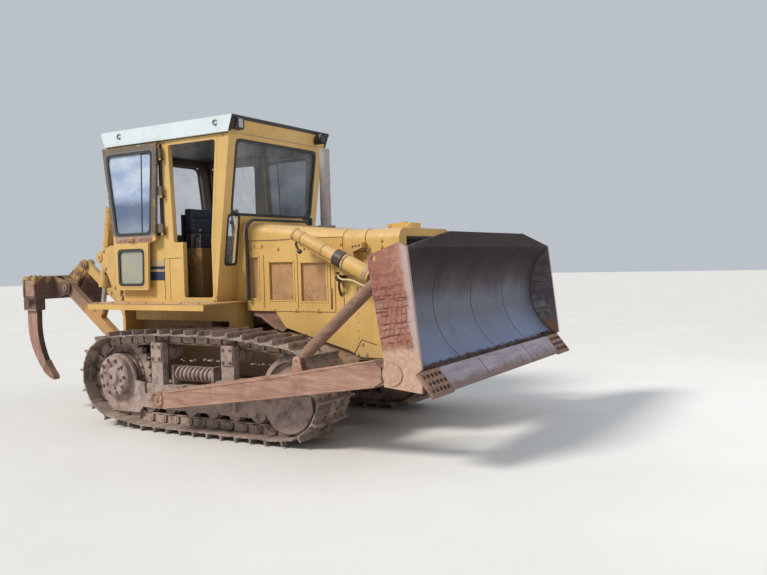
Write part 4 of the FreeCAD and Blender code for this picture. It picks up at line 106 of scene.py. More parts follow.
class Recipe:
    """Node graph of one material, with a short call for each node it uses."""

    def __init__(self, name="", roughness=0.7, metallic=0.0, begun=None):
        """Starts a material, or goes on from one already begun, whose colour is kept as painted."""
        self.material = begun or bpy.data.materials.new(name)
        self.material.use_nodes = True
        self.tree = self.material.node_tree
        self.shader = self.tree.nodes["Principled BSDF"]
        if begun:
            self.painted = self.shader.inputs["Base Color"].links[0].from_socket
        else:
            self.set("Roughness", roughness)
            self.set("Metallic", metallic)
        self.where = self.new("ShaderNodeTexCoord").outputs["Object"]
        self.parts = self.new("ShaderNodeSeparateXYZ")
        self.tree.links.new(self.where, self.parts.inputs[0])
        self.facing = self.new("ShaderNodeNewGeometry").outputs["Normal"]
        self.normal = self.new("ShaderNodeSeparateXYZ")
        self.tree.links.new(self.facing, self.normal.inputs[0])

    def new(self, kind, **settings):
        node = self.tree.nodes.new(kind)
        for key, value in settings.items():
            setattr(node, key, value)
        return node

    def feed(self, socket, value):
        if isinstance(value, bpy.types.NodeSocket):
            self.tree.links.new(value, socket)
        elif isinstance(value, tuple) and len(value) == 3 and len(socket.default_value) == 4:
            socket.default_value = value + (1.0,)
        else:
            socket.default_value = value

    def set(self, name, value):
        self.feed(self.shader.inputs[name], value)

    def math(self, kind, a, b=0.0, clamp=False):
        node = self.new("ShaderNodeMath", operation=kind, use_clamp=clamp)
        self.feed(node.inputs[0], a)
        self.feed(node.inputs[1], b)
        return node.outputs[0]

    def times(self, a, b):
        return self.math("MULTIPLY", a, b)

    def plus(self, a, b, clamp=False):
        return self.math("ADD", a, b, clamp)

    def pattern(self, kind, output, at=None, settings=None, **inputs):
        """Output of a node that looks at the place on the machine, or at another vector."""
        node = self.new(kind, **(settings or {}))
        self.feed(node.inputs["Vector"], at or self.where)
        for name, value in inputs.items():
            node.inputs[name].default_value = value
        return node.outputs[output]

    def stretched(self, x, y, z):
        return self.pattern("ShaderNodeMapping", "Vector", Scale=(x, y, z))

    def turned(self, angle):
        """The place, turned about Y."""
        return self.pattern("ShaderNodeMapping", "Vector", Rotation=(0.0, angle, 0.0))

    def noise(self, scale, detail=5.0, rough=0.6, at=None, distort=0.0):
        return self.pattern("ShaderNodeTexNoise", "Fac", at,
                            Scale=scale, Detail=detail, Roughness=rough, Distortion=distort)

    def cells(self, scale, jitter=1.0):
        return self.pattern("ShaderNodeTexVoronoi", "Distance", Scale=scale, Randomness=jitter)

    def waves(self, scale, at, distort, axis):
        return self.pattern("ShaderNodeTexWave", "Fac", at, {"bands_direction": axis},
                            Scale=scale, Distortion=distort)

    def spread(self, value, low, high, out_low=0.0, out_high=1.0):
        """Stretches low to high over out_low to out_high, and holds what lies beyond."""
        node = self.new("ShaderNodeMapRange", clamp=True)
        self.feed(node.inputs["Value"], value)
        limits = {"From Min": low, "From Max": high, "To Min": out_low, "To Max": out_high}
        for name, number in limits.items():
            node.inputs[name].default_value = number
        return node.outputs[0]

    def mix(self, share, a, b, blend="MIX"):
        node = self.new("ShaderNodeMix", data_type="RGBA", blend_type=blend)
        self.feed(node.inputs[0], share)
        self.feed(node.inputs[6], a)
        self.feed(node.inputs[7], b)
        return node.outputs[2]

    def blend(self, pattern, low, high, a, b):
        """From a, where the pattern is at low, to b at high."""
        return self.mix(self.spread(pattern, low, high), a, b)

    def height(self, low, high):
        """From 0 at one height, in metres, to 1 at another."""
        return self.spread(self.parts.outputs[2], low, high)

    def ragged(self, low, high, wander, scale, detail=6, rough=0.7):
        """As height, with a border that wanders up and down by a noise."""
        drift = self.spread(self.noise(scale, detail, rough), 0.3, 0.7, -wander, wander)
        return self.spread(self.plus(self.parts.outputs[2], drift), low, high)

    def upward(self, low=0.2, high=0.9):
        return self.spread(self.normal.outputs[2], low, high)

    def edges(self, radius, low=0.05, high=0.35):
        """1 near a sharp edge, 0 on flat faces."""
        bevel = self.new("ShaderNodeBevel", samples=4)
        bevel.inputs["Radius"].default_value = radius
        dot = self.new("ShaderNodeVectorMath", operation="DOT_PRODUCT")
        self.tree.links.new(bevel.outputs[0], dot.inputs[0])
        self.tree.links.new(self.facing, dot.inputs[1])
        return self.spread(self.math("SUBTRACT", 1.0, dot.outputs["Value"]), low, high)

    def bump(self, *layers, softening=0.004):
        """Raises the surface by (pattern, depth in metres) layers over rounded edges."""
        bevel = self.new("ShaderNodeBevel", samples=3)
        bevel.inputs["Radius"].default_value = softening
        normal = bevel.outputs[0]
        for pattern, depth in layers:
            node = self.new("ShaderNodeBump")
            node.inputs["Distance"].default_value = depth
            self.feed(node.inputs["Height"], pattern)
            self.tree.links.new(normal, node.inputs["Normal"])
            normal = node.outputs[0]
        self.tree.links.new(normal, self.shader.inputs["Normal"])

    def finished(self, colour, roughness, *layers, softening=0.004):
        """The material, once it has its colour, its roughness and its bumps."""
        self.set("Base Color", colour)
        self.set("Roughness", roughness)
        self.bump(*layers, softening=softening)
        return self.material

    def covered(self, share, colour):
        """The material gone on from, with a share of another colour over what was painted."""
        self.set("Base Color", self.mix(share, self.painted, colour))
        return self.material


def shade(colour, share):
    """Colour made darker, or lighter up to 1."""
    return tuple(min(1.0, share * c) for c in colour)


DUST = (0.50, 0.37, 0.26)
MUD = (0.34, 0.24, 0.17)
RUST = (0.20, 0.075, 0.035)
RUST_LIGHT = (0.42, 0.20, 0.11)
CAB_PAINT = (0.66, 0.43, 0.15), (0.57, 0.36, 0.11)


def paint(name, light, dark, rust=0.5, dust=0.5, grime=0.5, roughness=0.55):
    """Old machine paint: sun-faded patches, streaks, chipped and rusted edges, settled dust."""
    r = Recipe(name)
    faded = r.blend(r.noise(1.7, 3, 0.5), 0.35, 0.68, light, dark)
    cloud = r.noise(11, 6, 0.65)
    colour = r.mix(r.spread(cloud, 0.3, 0.8, 0.0, 0.28), faded, shade(dark, 0.62))
    streak = r.noise(9, 5, 0.6, at=r.stretched(2.2, 2.2, 0.16))
    colour = r.mix(r.spread(streak, 0.56, 0.78, 0.0, 0.55 * grime), colour, (0.22, 0.15, 0.09))
    edge = r.edges(0.011)
    chips = r.noise(34, 7, 0.68)
    worn = r.plus(r.times(edge, 0.17), chips)
    bite = 0.77 - 0.09 * rust
    halo = r.spread(worn, bite - 0.06, bite)
    colour = r.mix(r.times(halo, 0.55), colour, RUST_LIGHT)
    core = r.spread(worn, bite, bite + 0.03)
    rusty = r.blend(r.noise(60, 4), 0.35, 0.65, RUST, RUST_LIGHT)
    colour = r.mix(core, colour, rusty)
    low = r.math("SUBTRACT", 1.0, r.height(0.75, 1.25))
    splash = r.spread(r.plus(r.times(low, 0.34), r.noise(6, 7, 0.7)), 0.64, 0.95, 0.0, 0.7 * dust)
    settled = r.times(r.upward(), r.spread(r.noise(4, 6, 0.7), 0.3, 0.7, 0.25 * dust, dust))
    colour = r.mix(splash, colour, MUD)
    colour = r.mix(settled, colour, DUST)
    r.set("Base Color", colour)
    rough = r.spread(cloud, 0.3, 0.7, roughness - 0.1, roughness + 0.12)
    r.set("Roughness", r.plus(rough, r.times(core, 0.3), True))
    film = r.spread(worn, bite, bite + 0.03, 1.0, 0.0)
    r.bump((film, 0.0009), (r.noise(140, 3), 0.0003), (r.noise(2.4, 2), 0.004))
    return r.material


def rusted(name, light, dark, streak_axis=0, polish=0.0, mud=0.4):
    """Steel with its paint gone: rust in lengthwise streaks, scuffed edges, dried mud."""
    r = Recipe(name, metallic=0.12)
    scale = [7.0, 7.0, 7.0]
    scale[streak_axis] = 0.9
    streaks = r.noise(3.2, 7, 0.66, at=r.stretched(*scale), distort=0.25)
    colour = r.blend(streaks, 0.32, 0.68, dark, light)
    patch = r.noise(3.1, 6, 0.62)
    colour = r.mix(r.spread(patch, 0.5, 0.72, 0.0, 0.65), colour, shade(dark, 0.5))
    speck = r.noise(75, 5, 0.7)
    colour = r.mix(r.spread(speck, 0.56, 0.74, 0.0, 0.6), colour, RUST)
    edge = r.edges(0.012)
    scuff = r.spread(r.plus(r.times(edge, 0.3), r.noise(26, 6, 0.7)), 0.72, 0.82, 0.0, 0.75)
    colour = r.mix(scuff, colour, shade(light, 1.45))
    settled = r.times(r.upward(), r.spread(r.noise(5, 6, 0.7), 0.35, 0.7, 0.1, mud))
    colour = r.mix(settled, colour, DUST)
    return r.finished(colour, r.spread(streaks, 0.3, 0.7, 0.78 - polish, 0.9 - polish),
                      (speck, 0.0007), (streaks, 0.0016), (r.noise(320, 2), 0.0002))


def muddy(name, light, dark, shine=(0.30, 0.28, 0.27), cover=0.5, bright_edges=0.6):
    """Track steel: pale dried mud over dark metal, with edges rubbed bright."""
    r = Recipe(name, metallic=0.1)
    metal = r.blend(r.noise(30, 6, 0.7), 0.35, 0.65, dark, shade(dark, 1.5))
    crust = r.noise(7, 8, 0.72)
    bias = r.plus(crust, r.times(r.upward(0.0, 0.8), 0.10))
    share = r.spread(bias, 0.62 - 0.3 * cover, 0.76 - 0.3 * cover)
    earth = r.blend(r.noise(18, 6, 0.65), 0.35, 0.65, light, shade(light, 0.72))
    colour = r.mix(share, metal, earth)
    edge = r.edges(0.008)
    rubbed = r.times(r.spread(r.plus(r.times(edge, 0.34), r.noise(24, 6, 0.7)), 0.68, 0.80), bright_edges)
    colour = r.mix(rubbed, colour, shine)
    return r.finished(colour, r.math("SUBTRACT", 0.93, r.times(rubbed, 0.35)),
                      (share, 0.0022), (r.noise(55, 6, 0.7), 0.0016), (r.noise(260, 3), 0.0004))


# In metres: the blade's middle to its end plates and end bits, and the pale strip along an end
# plate's front, which fades in where x + STRIP_LEAN * z goes through STRIP
END_PLATE_Y, END_BIT_Y = 1.514, 1.212
STRIP_LEAN, STRIP = 0.1158, (2.785, 2.812)


def face_colour(r):
    """Soil-rubbed face with painted light: painted shade going dark brown then near black under its rim, grey
    in the middle, painted sky reflection in blue-grey low down.
    """
    sweep = r.noise(1.7, 5, 0.6, at=r.stretched(1.0, 1.2, 0.8))
    level = r.plus(r.parts.outputs[2], r.spread(sweep, 0.25, 0.75, -0.10, 0.10))
    # Painted light by height: the blue-grey low down is painted sky reflection, the dark brown and near black
    # high up are painted shade under the rim.
    colour = r.blend(level, 0.82, 1.12, (0.180, 0.215, 0.320), (0.125, 0.132, 0.165))
    colour = r.blend(level, 1.24, 1.40, colour, (0.062, 0.048, 0.050))
    colour = r.blend(level, 1.40, 1.60, colour, (0.026, 0.015, 0.014))
    streak = r.noise(5.0, 6, 0.6, at=r.stretched(1.0, 2.6, 0.7))
    rubbed = r.times(r.spread(streak, 0.50, 0.75, 0.0, 0.10), r.spread(level, 1.50, 1.30))
    colour = r.mix(rubbed, colour, (0.22, 0.23, 0.27))
    blotch = r.spread(r.noise(7, 8, 0.72), 0.57, 0.72, 0.0, 0.45)
    colour = r.mix(blotch, colour, (0.070, 0.050, 0.046))
    ends = r.spread(r.math("ABSOLUTE", r.parts.outputs[1]), 1.20, 1.52, 0.0, 0.5)
    colour = r.mix(ends, colour, (0.085, 0.066, 0.074))
    toe = r.ragged(0.826, 0.816, 0.016, 14, 8, 0.75)
    return r.mix(toe, colour, (0.060, 0.036, 0.028)), streak, toe


def end_colour(r):
    """Side plates: brown rust, finely cracked below the middle, pale at the foot and the front edge."""
    tone = r.noise(4, 6, 0.62)
    colour = r.blend(tone, 0.35, 0.65, (0.270, 0.104, 0.068), (0.405, 0.205, 0.155))
    bloom = r.noise(9, 7, 0.68)
    colour = r.mix(r.spread(bloom, 0.52, 0.68, 0.0, 0.5), colour, (0.43, 0.30, 0.29))
    fleck = r.noise(38, 5, 0.7)
    colour = r.mix(r.spread(fleck, 0.50, 0.68, 0.0, 0.55), colour, (0.160, 0.065, 0.050))
    tilt = r.turned(0.13)
    coarse = r.spread(r.waves(3.3, at=tilt, distort=2.4, axis="Z"), 0.92, 0.99)
    level = r.spread(r.waves(6.3, at=tilt, distort=4.5, axis="Z"), 0.86, 0.98)
    upright = r.spread(r.waves(7.4, at=r.turned(-0.22), distort=6.0, axis="X"), 0.86, 0.98)
    patchy = r.spread(r.noise(17, 5, 0.65), 0.43, 0.56)
    cracks = r.times(r.math("MAXIMUM", level, r.times(upright, 0.8)), patchy)
    cracks = r.math("MAXIMUM", cracks, r.times(coarse, r.spread(bloom, 0.40, 0.52)))
    zone = r.times(r.height(0.93, 0.99), r.spread(r.parts.outputs[2], 1.56, 1.34, 0.2, 1.0))
    hatch = r.times(cracks, zone)
    colour = r.mix(r.times(hatch, 0.85), colour, (0.065, 0.028, 0.026))
    ahead = r.plus(r.parts.outputs[0], r.times(r.parts.outputs[2], STRIP_LEAN))
    border = r.plus(ahead, r.spread(tone, 0.3, 0.7, -0.018, 0.018))
    strip = r.spread(border, *STRIP)
    colour = r.mix(r.times(strip, 0.8), colour, (0.45, 0.355, 0.35))
    foot = r.spread(r.plus(r.parts.outputs[2], r.spread(tone, 0.3, 0.7, -0.04, 0.04)), 0.98, 0.92)
    pale = r.blend(fleck, 0.4, 0.7, (0.52, 0.35, 0.26), (0.38, 0.22, 0.155))
    return r.mix(foot, colour, pale), hatch, tone, bloom


def blade_steel():
    """Moldboard: rubbed face with painted shade under its rim and painted sky reflection low down, rusty side
    plates with paler rims, back with remains of paint.
    """
    r = Recipe("blade_steel", metallic=0.05)
    # The face colour holds painted shade high up and painted sky reflection low down.
    front, streak, toe = face_colour(r)
    sides, hatch, tone, bloom = end_colour(r)
    outward = r.times(r.math("SIGN", r.parts.outputs[1]), r.normal.outputs[1])
    beyond = r.math("GREATER_THAN", r.math("ABSOLUTE", r.parts.outputs[1]), END_PLATE_Y)
    outside = r.times(r.spread(outward, 0.4, 0.6), beyond)
    inside = r.spread(outward, -0.5, -0.8)
    rims = r.times(beyond, r.spread(r.math("ABSOLUTE", outward), 0.4, 0.2))
    behind = r.spread(r.normal.outputs[0], -0.05, -0.3)
    back = r.blend(r.noise(6, 7, 0.7), 0.42, 0.58, (0.25, 0.130, 0.080), (0.135, 0.070, 0.050))
    back = r.blend(bloom, 0.55, 0.62, back, (0.48, 0.300, 0.095))
    colour = r.mix(behind, front, back)
    plum = r.blend(r.noise(7, 6, 0.7), 0.35, 0.65, (0.120, 0.096, 0.122), (0.22, 0.175, 0.18))
    washed = r.times(r.spread(r.parts.outputs[2], 1.22, 1.12), r.spread(bloom, 0.42, 0.56))
    plum = r.mix(r.times(washed, 0.8), plum, (0.30, 0.32, 0.30))
    plum = r.mix(r.times(hatch, 0.7), plum, (0.05, 0.035, 0.045))
    plum = r.blend(r.parts.outputs[2], 1.0, 0.86, plum, (0.33, 0.185, 0.125))
    colour = r.mix(inside, colour, plum)
    colour = r.mix(rims, colour, (0.37, 0.26, 0.235))
    colour = r.mix(outside, colour, sides)
    edge = r.spread(r.plus(r.times(r.edges(0.012), 0.3), r.noise(22, 6, 0.7)), 0.66, 0.78)
    colour = r.mix(r.times(edge, 0.45), colour, (0.30, 0.20, 0.17))
    r.set("Base Color", colour)
    r.set("Specular IOR Level", 0.25)
    rubbed, rusty = r.spread(streak, 0.3, 0.7, 0.70, 0.60), r.spread(tone, 0.3, 0.7, 0.75, 0.9)
    r.set("Roughness", r.mix(outside, rubbed, rusty))
    r.bump((r.noise(60, 6, 0.7), 0.0007), (toe, 0.003), (r.times(hatch, outside), -0.0015))
    return r.material


def edge_steel():
    """Cutting edge: rubbed lilac grey between rust-brown end bits, soil along its tip."""
    r = Recipe("cutting_edge_steel", metallic=0.1)
    tone = r.noise(3.2, 7, 0.66, at=r.stretched(7.0, 0.9, 7.0))
    speck = r.noise(40, 6, 0.7)
    colour = r.blend(tone, 0.35, 0.68, (0.36, 0.315, 0.36), (0.235, 0.200, 0.225))
    bit = r.blend(speck, 0.35, 0.65, (0.34, 0.190, 0.135), (0.20, 0.095, 0.065))
    colour = r.mix(r.math("GREATER_THAN", r.math("ABSOLUTE", r.parts.outputs[1]), END_BIT_Y), colour, bit)
    soil = r.ragged(0.700, 0.655, 0.035, 11, 7)
    colour = r.mix(r.times(soil, 0.8), colour, (0.17, 0.092, 0.066))
    return r.finished(colour, r.spread(tone, 0.3, 0.7, 0.62, 0.78), (speck, 0.0007), (soil, 0.002))


def beam_steel():
    """Ripper beam: dark rust with remains of paint along its top and on the link bosses."""
    r = Recipe(begun=rusted("ripper_beam_rust", (0.185, 0.110, 0.085), (0.090, 0.054, 0.046), streak_axis=1))
    top = r.ragged(1.43, 1.50, 0.07, 5)
    paint_left = r.times(top, r.spread(r.noise(9, 7, 0.7), 0.42, 0.54))
    return r.covered(r.times(paint_left, 0.85), (0.52, 0.325, 0.105))


def link_paint():
    """Lower ripper links: orange paint below, bare grey-brown rust towards the beam."""
    orange = (0.60, 0.345, 0.110), (0.43, 0.215, 0.075)
    r = Recipe(begun=paint("link_paint", *orange, rust=1.9, dust=0.4, grime=1.0))
    high = r.ragged(1.14, 1.26, 0.12, 5)
    return r.covered(r.times(high, 0.85), (0.190, 0.120, 0.095))


def shank_steel():
    """Shank: scoured pinkish rust at the sides, soil-dark on its front face and at the tip."""
    r = Recipe(begun=rusted("shank_rust", (0.45, 0.275, 0.210), (0.24, 0.125, 0.095), streak_axis=2))
    front = r.spread(r.normal.outputs[0], 0.35, 0.6)
    tip = r.ragged(0.46, 0.42, 0.03, 14)
    dark = r.math("MAXIMUM", r.times(front, 0.85), r.times(tip, 0.7))
    return r.covered(dark, (0.050, 0.033, 0.030))


def foot_steel():
    r = Recipe("blade_foot_steel", metallic=0.1)
    fleck = r.noise(30, 6, 0.7)
    return r.finished(r.blend(fleck, 0.35, 0.7, (0.50, 0.33, 0.24), (0.36, 0.20, 0.14)), 0.82,
                      (fleck, 0.0006))


CAB_CENTRE = (-800, 0, 2080)


def cab_shell():
    """Cab walls: paint outside, painted shade in dark brown on every face that looks inwards."""
    r = Recipe(begun=paint("cab_shell", *CAB_PAINT, rust=0.35, dust=0.35, grime=0.35))
    from_centre = r.new("ShaderNodeVectorMath", operation="SUBTRACT")
    from_centre.inputs[1].default_value = to_frame(CAB_CENTRE)
    r.tree.links.new(r.where, from_centre.inputs[0])
    lean = r.new("ShaderNodeVectorMath", operation="DOT_PRODUCT")
    r.tree.links.new(from_centre.outputs[0], lean.inputs[0])
    r.tree.links.new(r.facing, lean.inputs[1])
    # Every face that looks into the cab is painted dark brown: painted shade for the cab's inside.
    inwards = r.math("LESS_THAN", lean.outputs["Value"], 0.0)
    return r.covered(inwards, (0.085, 0.056, 0.040))


def door_paint():
    """Door: paint below, the frame round the upper pane weathered to grey-brown."""
    r = Recipe(begun=paint("door_paint", *CAB_PAINT, rust=0.6, dust=0.35, grime=0.6))
    cloud = r.noise(9, 6, 0.7)
    upper = r.times(r.spread(r.plus(r.parts.outputs[2], r.spread(cloud, 0.3, 0.7, -0.03, 0.03)), 1.90, 1.96),
                    r.spread(cloud, 0.30, 0.45, 0.45, 0.95))
    return r.covered(upper, (0.115, 0.088, 0.066))


def sheet_mesh():
    """Fine perforated sheet: round holes in a close grid, painted near black as painted shade seen through
    them, tan dust between them.
    """
    r = Recipe("perforated_sheet")
    grid = r.cells(105, jitter=0.0)
    # Holes painted near black: painted shade seen through the sheet.
    hole_shade = r.spread(grid, 0.34, 0.26)
    tone = r.noise(5, 6, 0.65)
    colour = r.blend(tone, 0.35, 0.68, (0.47, 0.265, 0.115), (0.34, 0.185, 0.085))
    low = r.spread(r.plus(r.noise(9, 6, 0.7), r.times(r.height(1.5, 1.25), 0.15)), 0.55, 0.75, 0.0, 0.7)
    colour = r.mix(low, colour, (0.20, 0.115, 0.065))
    colour = r.mix(r.times(hole_shade, 0.8), colour, (0.03, 0.02, 0.015))
    return r.finished(colour, 0.8, (hole_shade, -0.0012))


def rubber(name, colour=(0.022, 0.021, 0.022), dust=0.25):
    r = Recipe(name)
    tone = r.noise(14, 6, 0.7)
    base = r.blend(tone, 0.35, 0.7, colour, shade(colour, 2.2))
    base = r.mix(r.times(r.upward(), dust), base, DUST)
    return r.finished(base, r.spread(tone, 0.3, 0.7, 0.62, 0.82),
                      (r.noise(160, 4), 0.0004), softening=0.002)


DOOR_SPLIT = 1.86        # height between a door's two panes, in metres


def glazing(name, tint, dirt, body=0.10):
    """Pane with dust and rain streaks; body is how much of it shows where it is clean."""
    r = Recipe(name, roughness=0.06)
    film = r.noise(3.0, 6, 0.65)
    streak = r.noise(14, 4, 0.6, at=r.stretched(2.0, 2.0, 0.2))
    haze = r.plus(r.spread(film, 0.35, 0.8, 0.0, dirt), r.spread(streak, 0.55, 0.75, 0.0, dirt * 0.5))
    r.set("Base Color", r.mix(haze, tint, (0.56, 0.56, 0.54)))
    r.set("Roughness", r.spread(film, 0.3, 0.7, 0.04, 0.18))
    r.set("Alpha", r.plus(haze, body, True))
    r.set("IOR", 1.5)
    r.set("Specular IOR Level", 0.9)
    return r.material


def door_glazing():
    """Door panes: painted sky reflection, pale blue above and darker towards the sill, dusty greenish grey in
    the lower pane.
    """
    r = Recipe("door_pane", roughness=0.05)
    cloud = r.noise(2.4, 5, 0.6, at=r.stretched(1.0, 1.0, 2.2))
    # Painted sky reflection: pale blue high on the pane, darker lower down.
    sky_reflection = r.blend(cloud, 0.38, 0.62, (0.62, 0.70, 0.82), (0.33, 0.42, 0.62))
    low = r.plus(r.parts.outputs[2], r.spread(cloud, 0.3, 0.7, -0.05, 0.05))
    sky_reflection = r.blend(low, 2.36, 2.24, sky_reflection, (0.14, 0.19, 0.30))
    sky_reflection = r.blend(low, 2.12, 1.98, sky_reflection, (0.28, 0.34, 0.42))
    lower = r.math("LESS_THAN", r.parts.outputs[2], DOOR_SPLIT)
    dusty = r.blend(cloud, 0.35, 0.65, (0.46, 0.45, 0.36), (0.36, 0.36, 0.30))
    r.set("Base Color", r.mix(lower, sky_reflection, dusty))
    r.set("Alpha", r.spread(cloud, 0.3, 0.7, 0.72, 0.84))
    r.set("Roughness", r.spread(cloud, 0.3, 0.7, 0.04, 0.14))
    return r.material


def seat_cover():
    r = Recipe("seat_vinyl")
    grain = r.cells(420)
    crease = r.noise(9, 6, 0.7, distort=1.2)
    colour = r.blend(crease, 0.3, 0.7, (0.018, 0.022, 0.040), (0.030, 0.036, 0.058))
    colour = r.mix(r.times(r.upward(0.1, 0.9), 0.14), colour, (0.20, 0.165, 0.13))
    r.set("Base Color", colour)
    r.set("Roughness", r.spread(crease, 0.3, 0.7, 0.42, 0.62))
    r.set("Coat Weight", 0.1)
    r.bump((grain, 0.0004), (crease, 0.003), softening=0.002)
    return r.material


def bare_rod(name, colour=(0.50, 0.48, 0.46)):
    r = Recipe(name, metallic=0.85)
    marks = r.noise(7, 6, 0.7)
    tarnish = r.spread(marks, 0.5, 0.7, 0.0, 0.7)
    return r.finished(r.mix(tarnish, colour, (0.23, 0.15, 0.10)), r.spread(marks, 0.3, 0.7, 0.24, 0.55),
                      (marks, 0.0004))


def stack_pipe():
    """Exhaust pipe: heat-browned below, grey and paler towards its top."""
    r = Recipe("stack_steel", metallic=0.35)
    tone = r.noise(9, 6, 0.65, at=r.stretched(1.0, 1.0, 0.5))
    colour = r.blend(tone, 0.35, 0.65, (0.27, 0.235, 0.22), (0.38, 0.35, 0.34))
    colour = r.mix(r.times(r.height(2.35, 2.8), 0.6), colour, (0.40, 0.38, 0.37))
    colour = r.mix(r.spread(r.noise(24, 6, 0.7), 0.56, 0.7, 0.0, 0.6), colour, (0.17, 0.09, 0.06))
    return r.finished(colour, r.spread(tone, 0.3, 0.7, 0.6, 0.8), (r.noise(70, 5), 0.0006))


def plastic(name, colour, roughness=0.5):
    r = Recipe(name)
    tone = r.noise(12, 5, 0.6)
    base = r.blend(tone, 0.3, 0.7, colour, shade(colour, 0.72))
    base = r.mix(r.times(r.upward(), 0.3), base, DUST)
    return r.finished(base, r.spread(tone, 0.3, 0.7, roughness - 0.08, roughness + 0.12),
                      (r.noise(300, 3), 0.0002), softening=0.003)


def floor_finish():
    r = Recipe("studio_floor", roughness=0.9)
    r.set("Base Color", r.blend(r.noise(0.7, 4), 0.3, 0.7, (0.70, 0.69, 0.67), (0.66, 0.65, 0.63)))
    return r.material


LOOK = {
    "yellow": paint("machine_yellow", (0.66, 0.415, 0.125), (0.56, 0.335, 0.090)),
    "cab_yellow": paint("cab_yellow", *CAB_PAINT, 0.35, 0.35, 0.35),
    "worn_yellow": paint("worn_yellow", (0.62, 0.40, 0.14), (0.46, 0.27, 0.09), 1.1, 0.7, 0.9),
    "rough_yellow": paint("rough_yellow", (0.45, 0.27, 0.11), (0.30, 0.17, 0.08), 1.7, 0.9, 1.0),
    "white": paint("roof_white", (0.68, 0.75, 0.78), (0.60, 0.67, 0.70), 0.15, 0.3, 0.3, 0.5),
    "link_paint": link_paint(),
    "console": paint("console_ochre", (0.27, 0.15, 0.055), (0.19, 0.10, 0.04), 0.5, 0.3),
    "pale_yellow": paint("sill_yellow", (0.72, 0.56, 0.27), (0.60, 0.44, 0.20), 0.9, 0.8, 0.8),
    "grey_frame": paint("frame_grey", (0.17, 0.16, 0.15), (0.11, 0.10, 0.10), 0.4, 0.3),
    "pale_rust": rusted("lock_bar_rust", (0.47, 0.30, 0.24), (0.27, 0.15, 0.11)),
    "clay": muddy("clay", (0.10, 0.062, 0.045), (0.05, 0.032, 0.025), (0.14, 0.10, 0.08), 0.6, 0.2),
    "oily": rusted("oily_steel", (0.085, 0.055, 0.040), (0.030, 0.022, 0.018), polish=0.35, mud=0.15),
    "cream_rust": paint("cream_head", (0.50, 0.36, 0.20), (0.40, 0.25, 0.13), 2.2, 0.5, 1.0),
    "seam": plastic("seam_dark", (0.060, 0.036, 0.022), 0.8),
    "rust": rusted("push_arm_rust", (0.47, 0.290, 0.220), (0.255, 0.125, 0.085)),
    "dark_rust": rusted("dark_rust", (0.33, 0.195, 0.135), (0.165, 0.088, 0.064)),
    "shank": shank_steel(),
    "beam": beam_steel(),
    "edge": edge_steel(),
    "bolt": rusted("bolt_rust", (0.25, 0.15, 0.11), (0.12, 0.065, 0.045), mud=0.3),
    "face": blade_steel(),
    "foot": foot_steel(),
    "shell": cab_shell(),
    "door_paint": door_paint(),
    "rail": muddy("link_mud", (0.46, 0.345, 0.280), (0.12, 0.090, 0.075), cover=0.9, bright_edges=0.6),
    "shoe": muddy("shoe_mud", (0.40, 0.300, 0.245), (0.100, 0.075, 0.065), (0.48, 0.42, 0.39), 0.65, 0.9),
    "frame": muddy("frame_mud", (0.43, 0.325, 0.280), (0.16, 0.115, 0.10), cover=0.85, bright_edges=0.35),
    "spring": muddy("spring_mud", (0.46, 0.350, 0.300), (0.18, 0.13, 0.11), cover=0.95, bright_edges=0.2),
    "dark": muddy("dark_steel", (0.12, 0.085, 0.065), (0.030, 0.025, 0.022), (0.08, 0.07, 0.065), 0.25, 0.4),
    "sheet": sheet_mesh(),
    "stack": stack_pipe(),
    "rod": bare_rod("cylinder_rod"),
    "rubber": rubber("black_rubber"),
    "trim": plastic("black_trim", (0.030, 0.030, 0.034)),
    "knob": plastic("knob_black", (0.015, 0.015, 0.017), 0.35),
    "beige": plastic("band_beige", (0.50, 0.40, 0.24)),
    "navy": plastic("band_navy", (0.020, 0.035, 0.075)),
    "glass": glazing("cab_pane", (0.46, 0.50, 0.52), 0.16, 0.05),
    "door_glass": door_glazing(),
    "lamp_glass": glazing("lamp_pane", (0.38, 0.40, 0.43), 0.5, 0.6),
    "vinyl": seat_cover(),
}

DRESS = {
    "yellow": ("hood", "side_panels", "nose_guard", "platform", "cowl", "lift_barrels"),
    "shell": ("cab_front", "cab_side_left", "cab_side_right", "cab_rear"),
    "door_paint": ("door_left", "door_right"),
    "worn_yellow": ("ripper_bracket", "ripper_barrels", "ripper_upper_links", "lift_brackets"),
    "rough_yellow": ("main_frame", "rear_case"),
    "link_paint": ("ripper_lower_links",),
    "white": ("cab_roof",),
    "rust": ("push_arms",),
    "dark_rust": ("braces",),
    "foot": ("blade_pins",),
    "shank": ("ripper_shank",),
    "beam": ("ripper_beam",),
    "edge": ("cutting_edge",),
    "face": ("moldboard",),
    "rail": ("track_left", "track_right", "rollers", "idlers", "sprockets"),
    "frame": ("track_frame_left", "track_frame_right", "final_drives", "cross_beams"),
    "spring": ("recoil_springs",),
    "dark": ("engine_block", "radiator", "nose_grille", "seat_base"),
    "sheet": ("vent_panels",),
    "stack": ("exhaust_stack",),
    "rod": ("lift_rods", "ripper_rods"),
    "trim": ("roof_lamps", "dash"),
    "console": ("console",),
    "glass": ("cab_glass",),
    "door_glass": ("door_left_glass", "door_right_glass"),
    "vinyl": ("seat_cushions",),
}


# Drawing pieces


def ring_points(radius, sides, start=0.0):
    return [(radius * math.cos(start + math.tau * i / sides), radius * math.sin(start + math.tau * i / sides))
            for i in range(sides)]


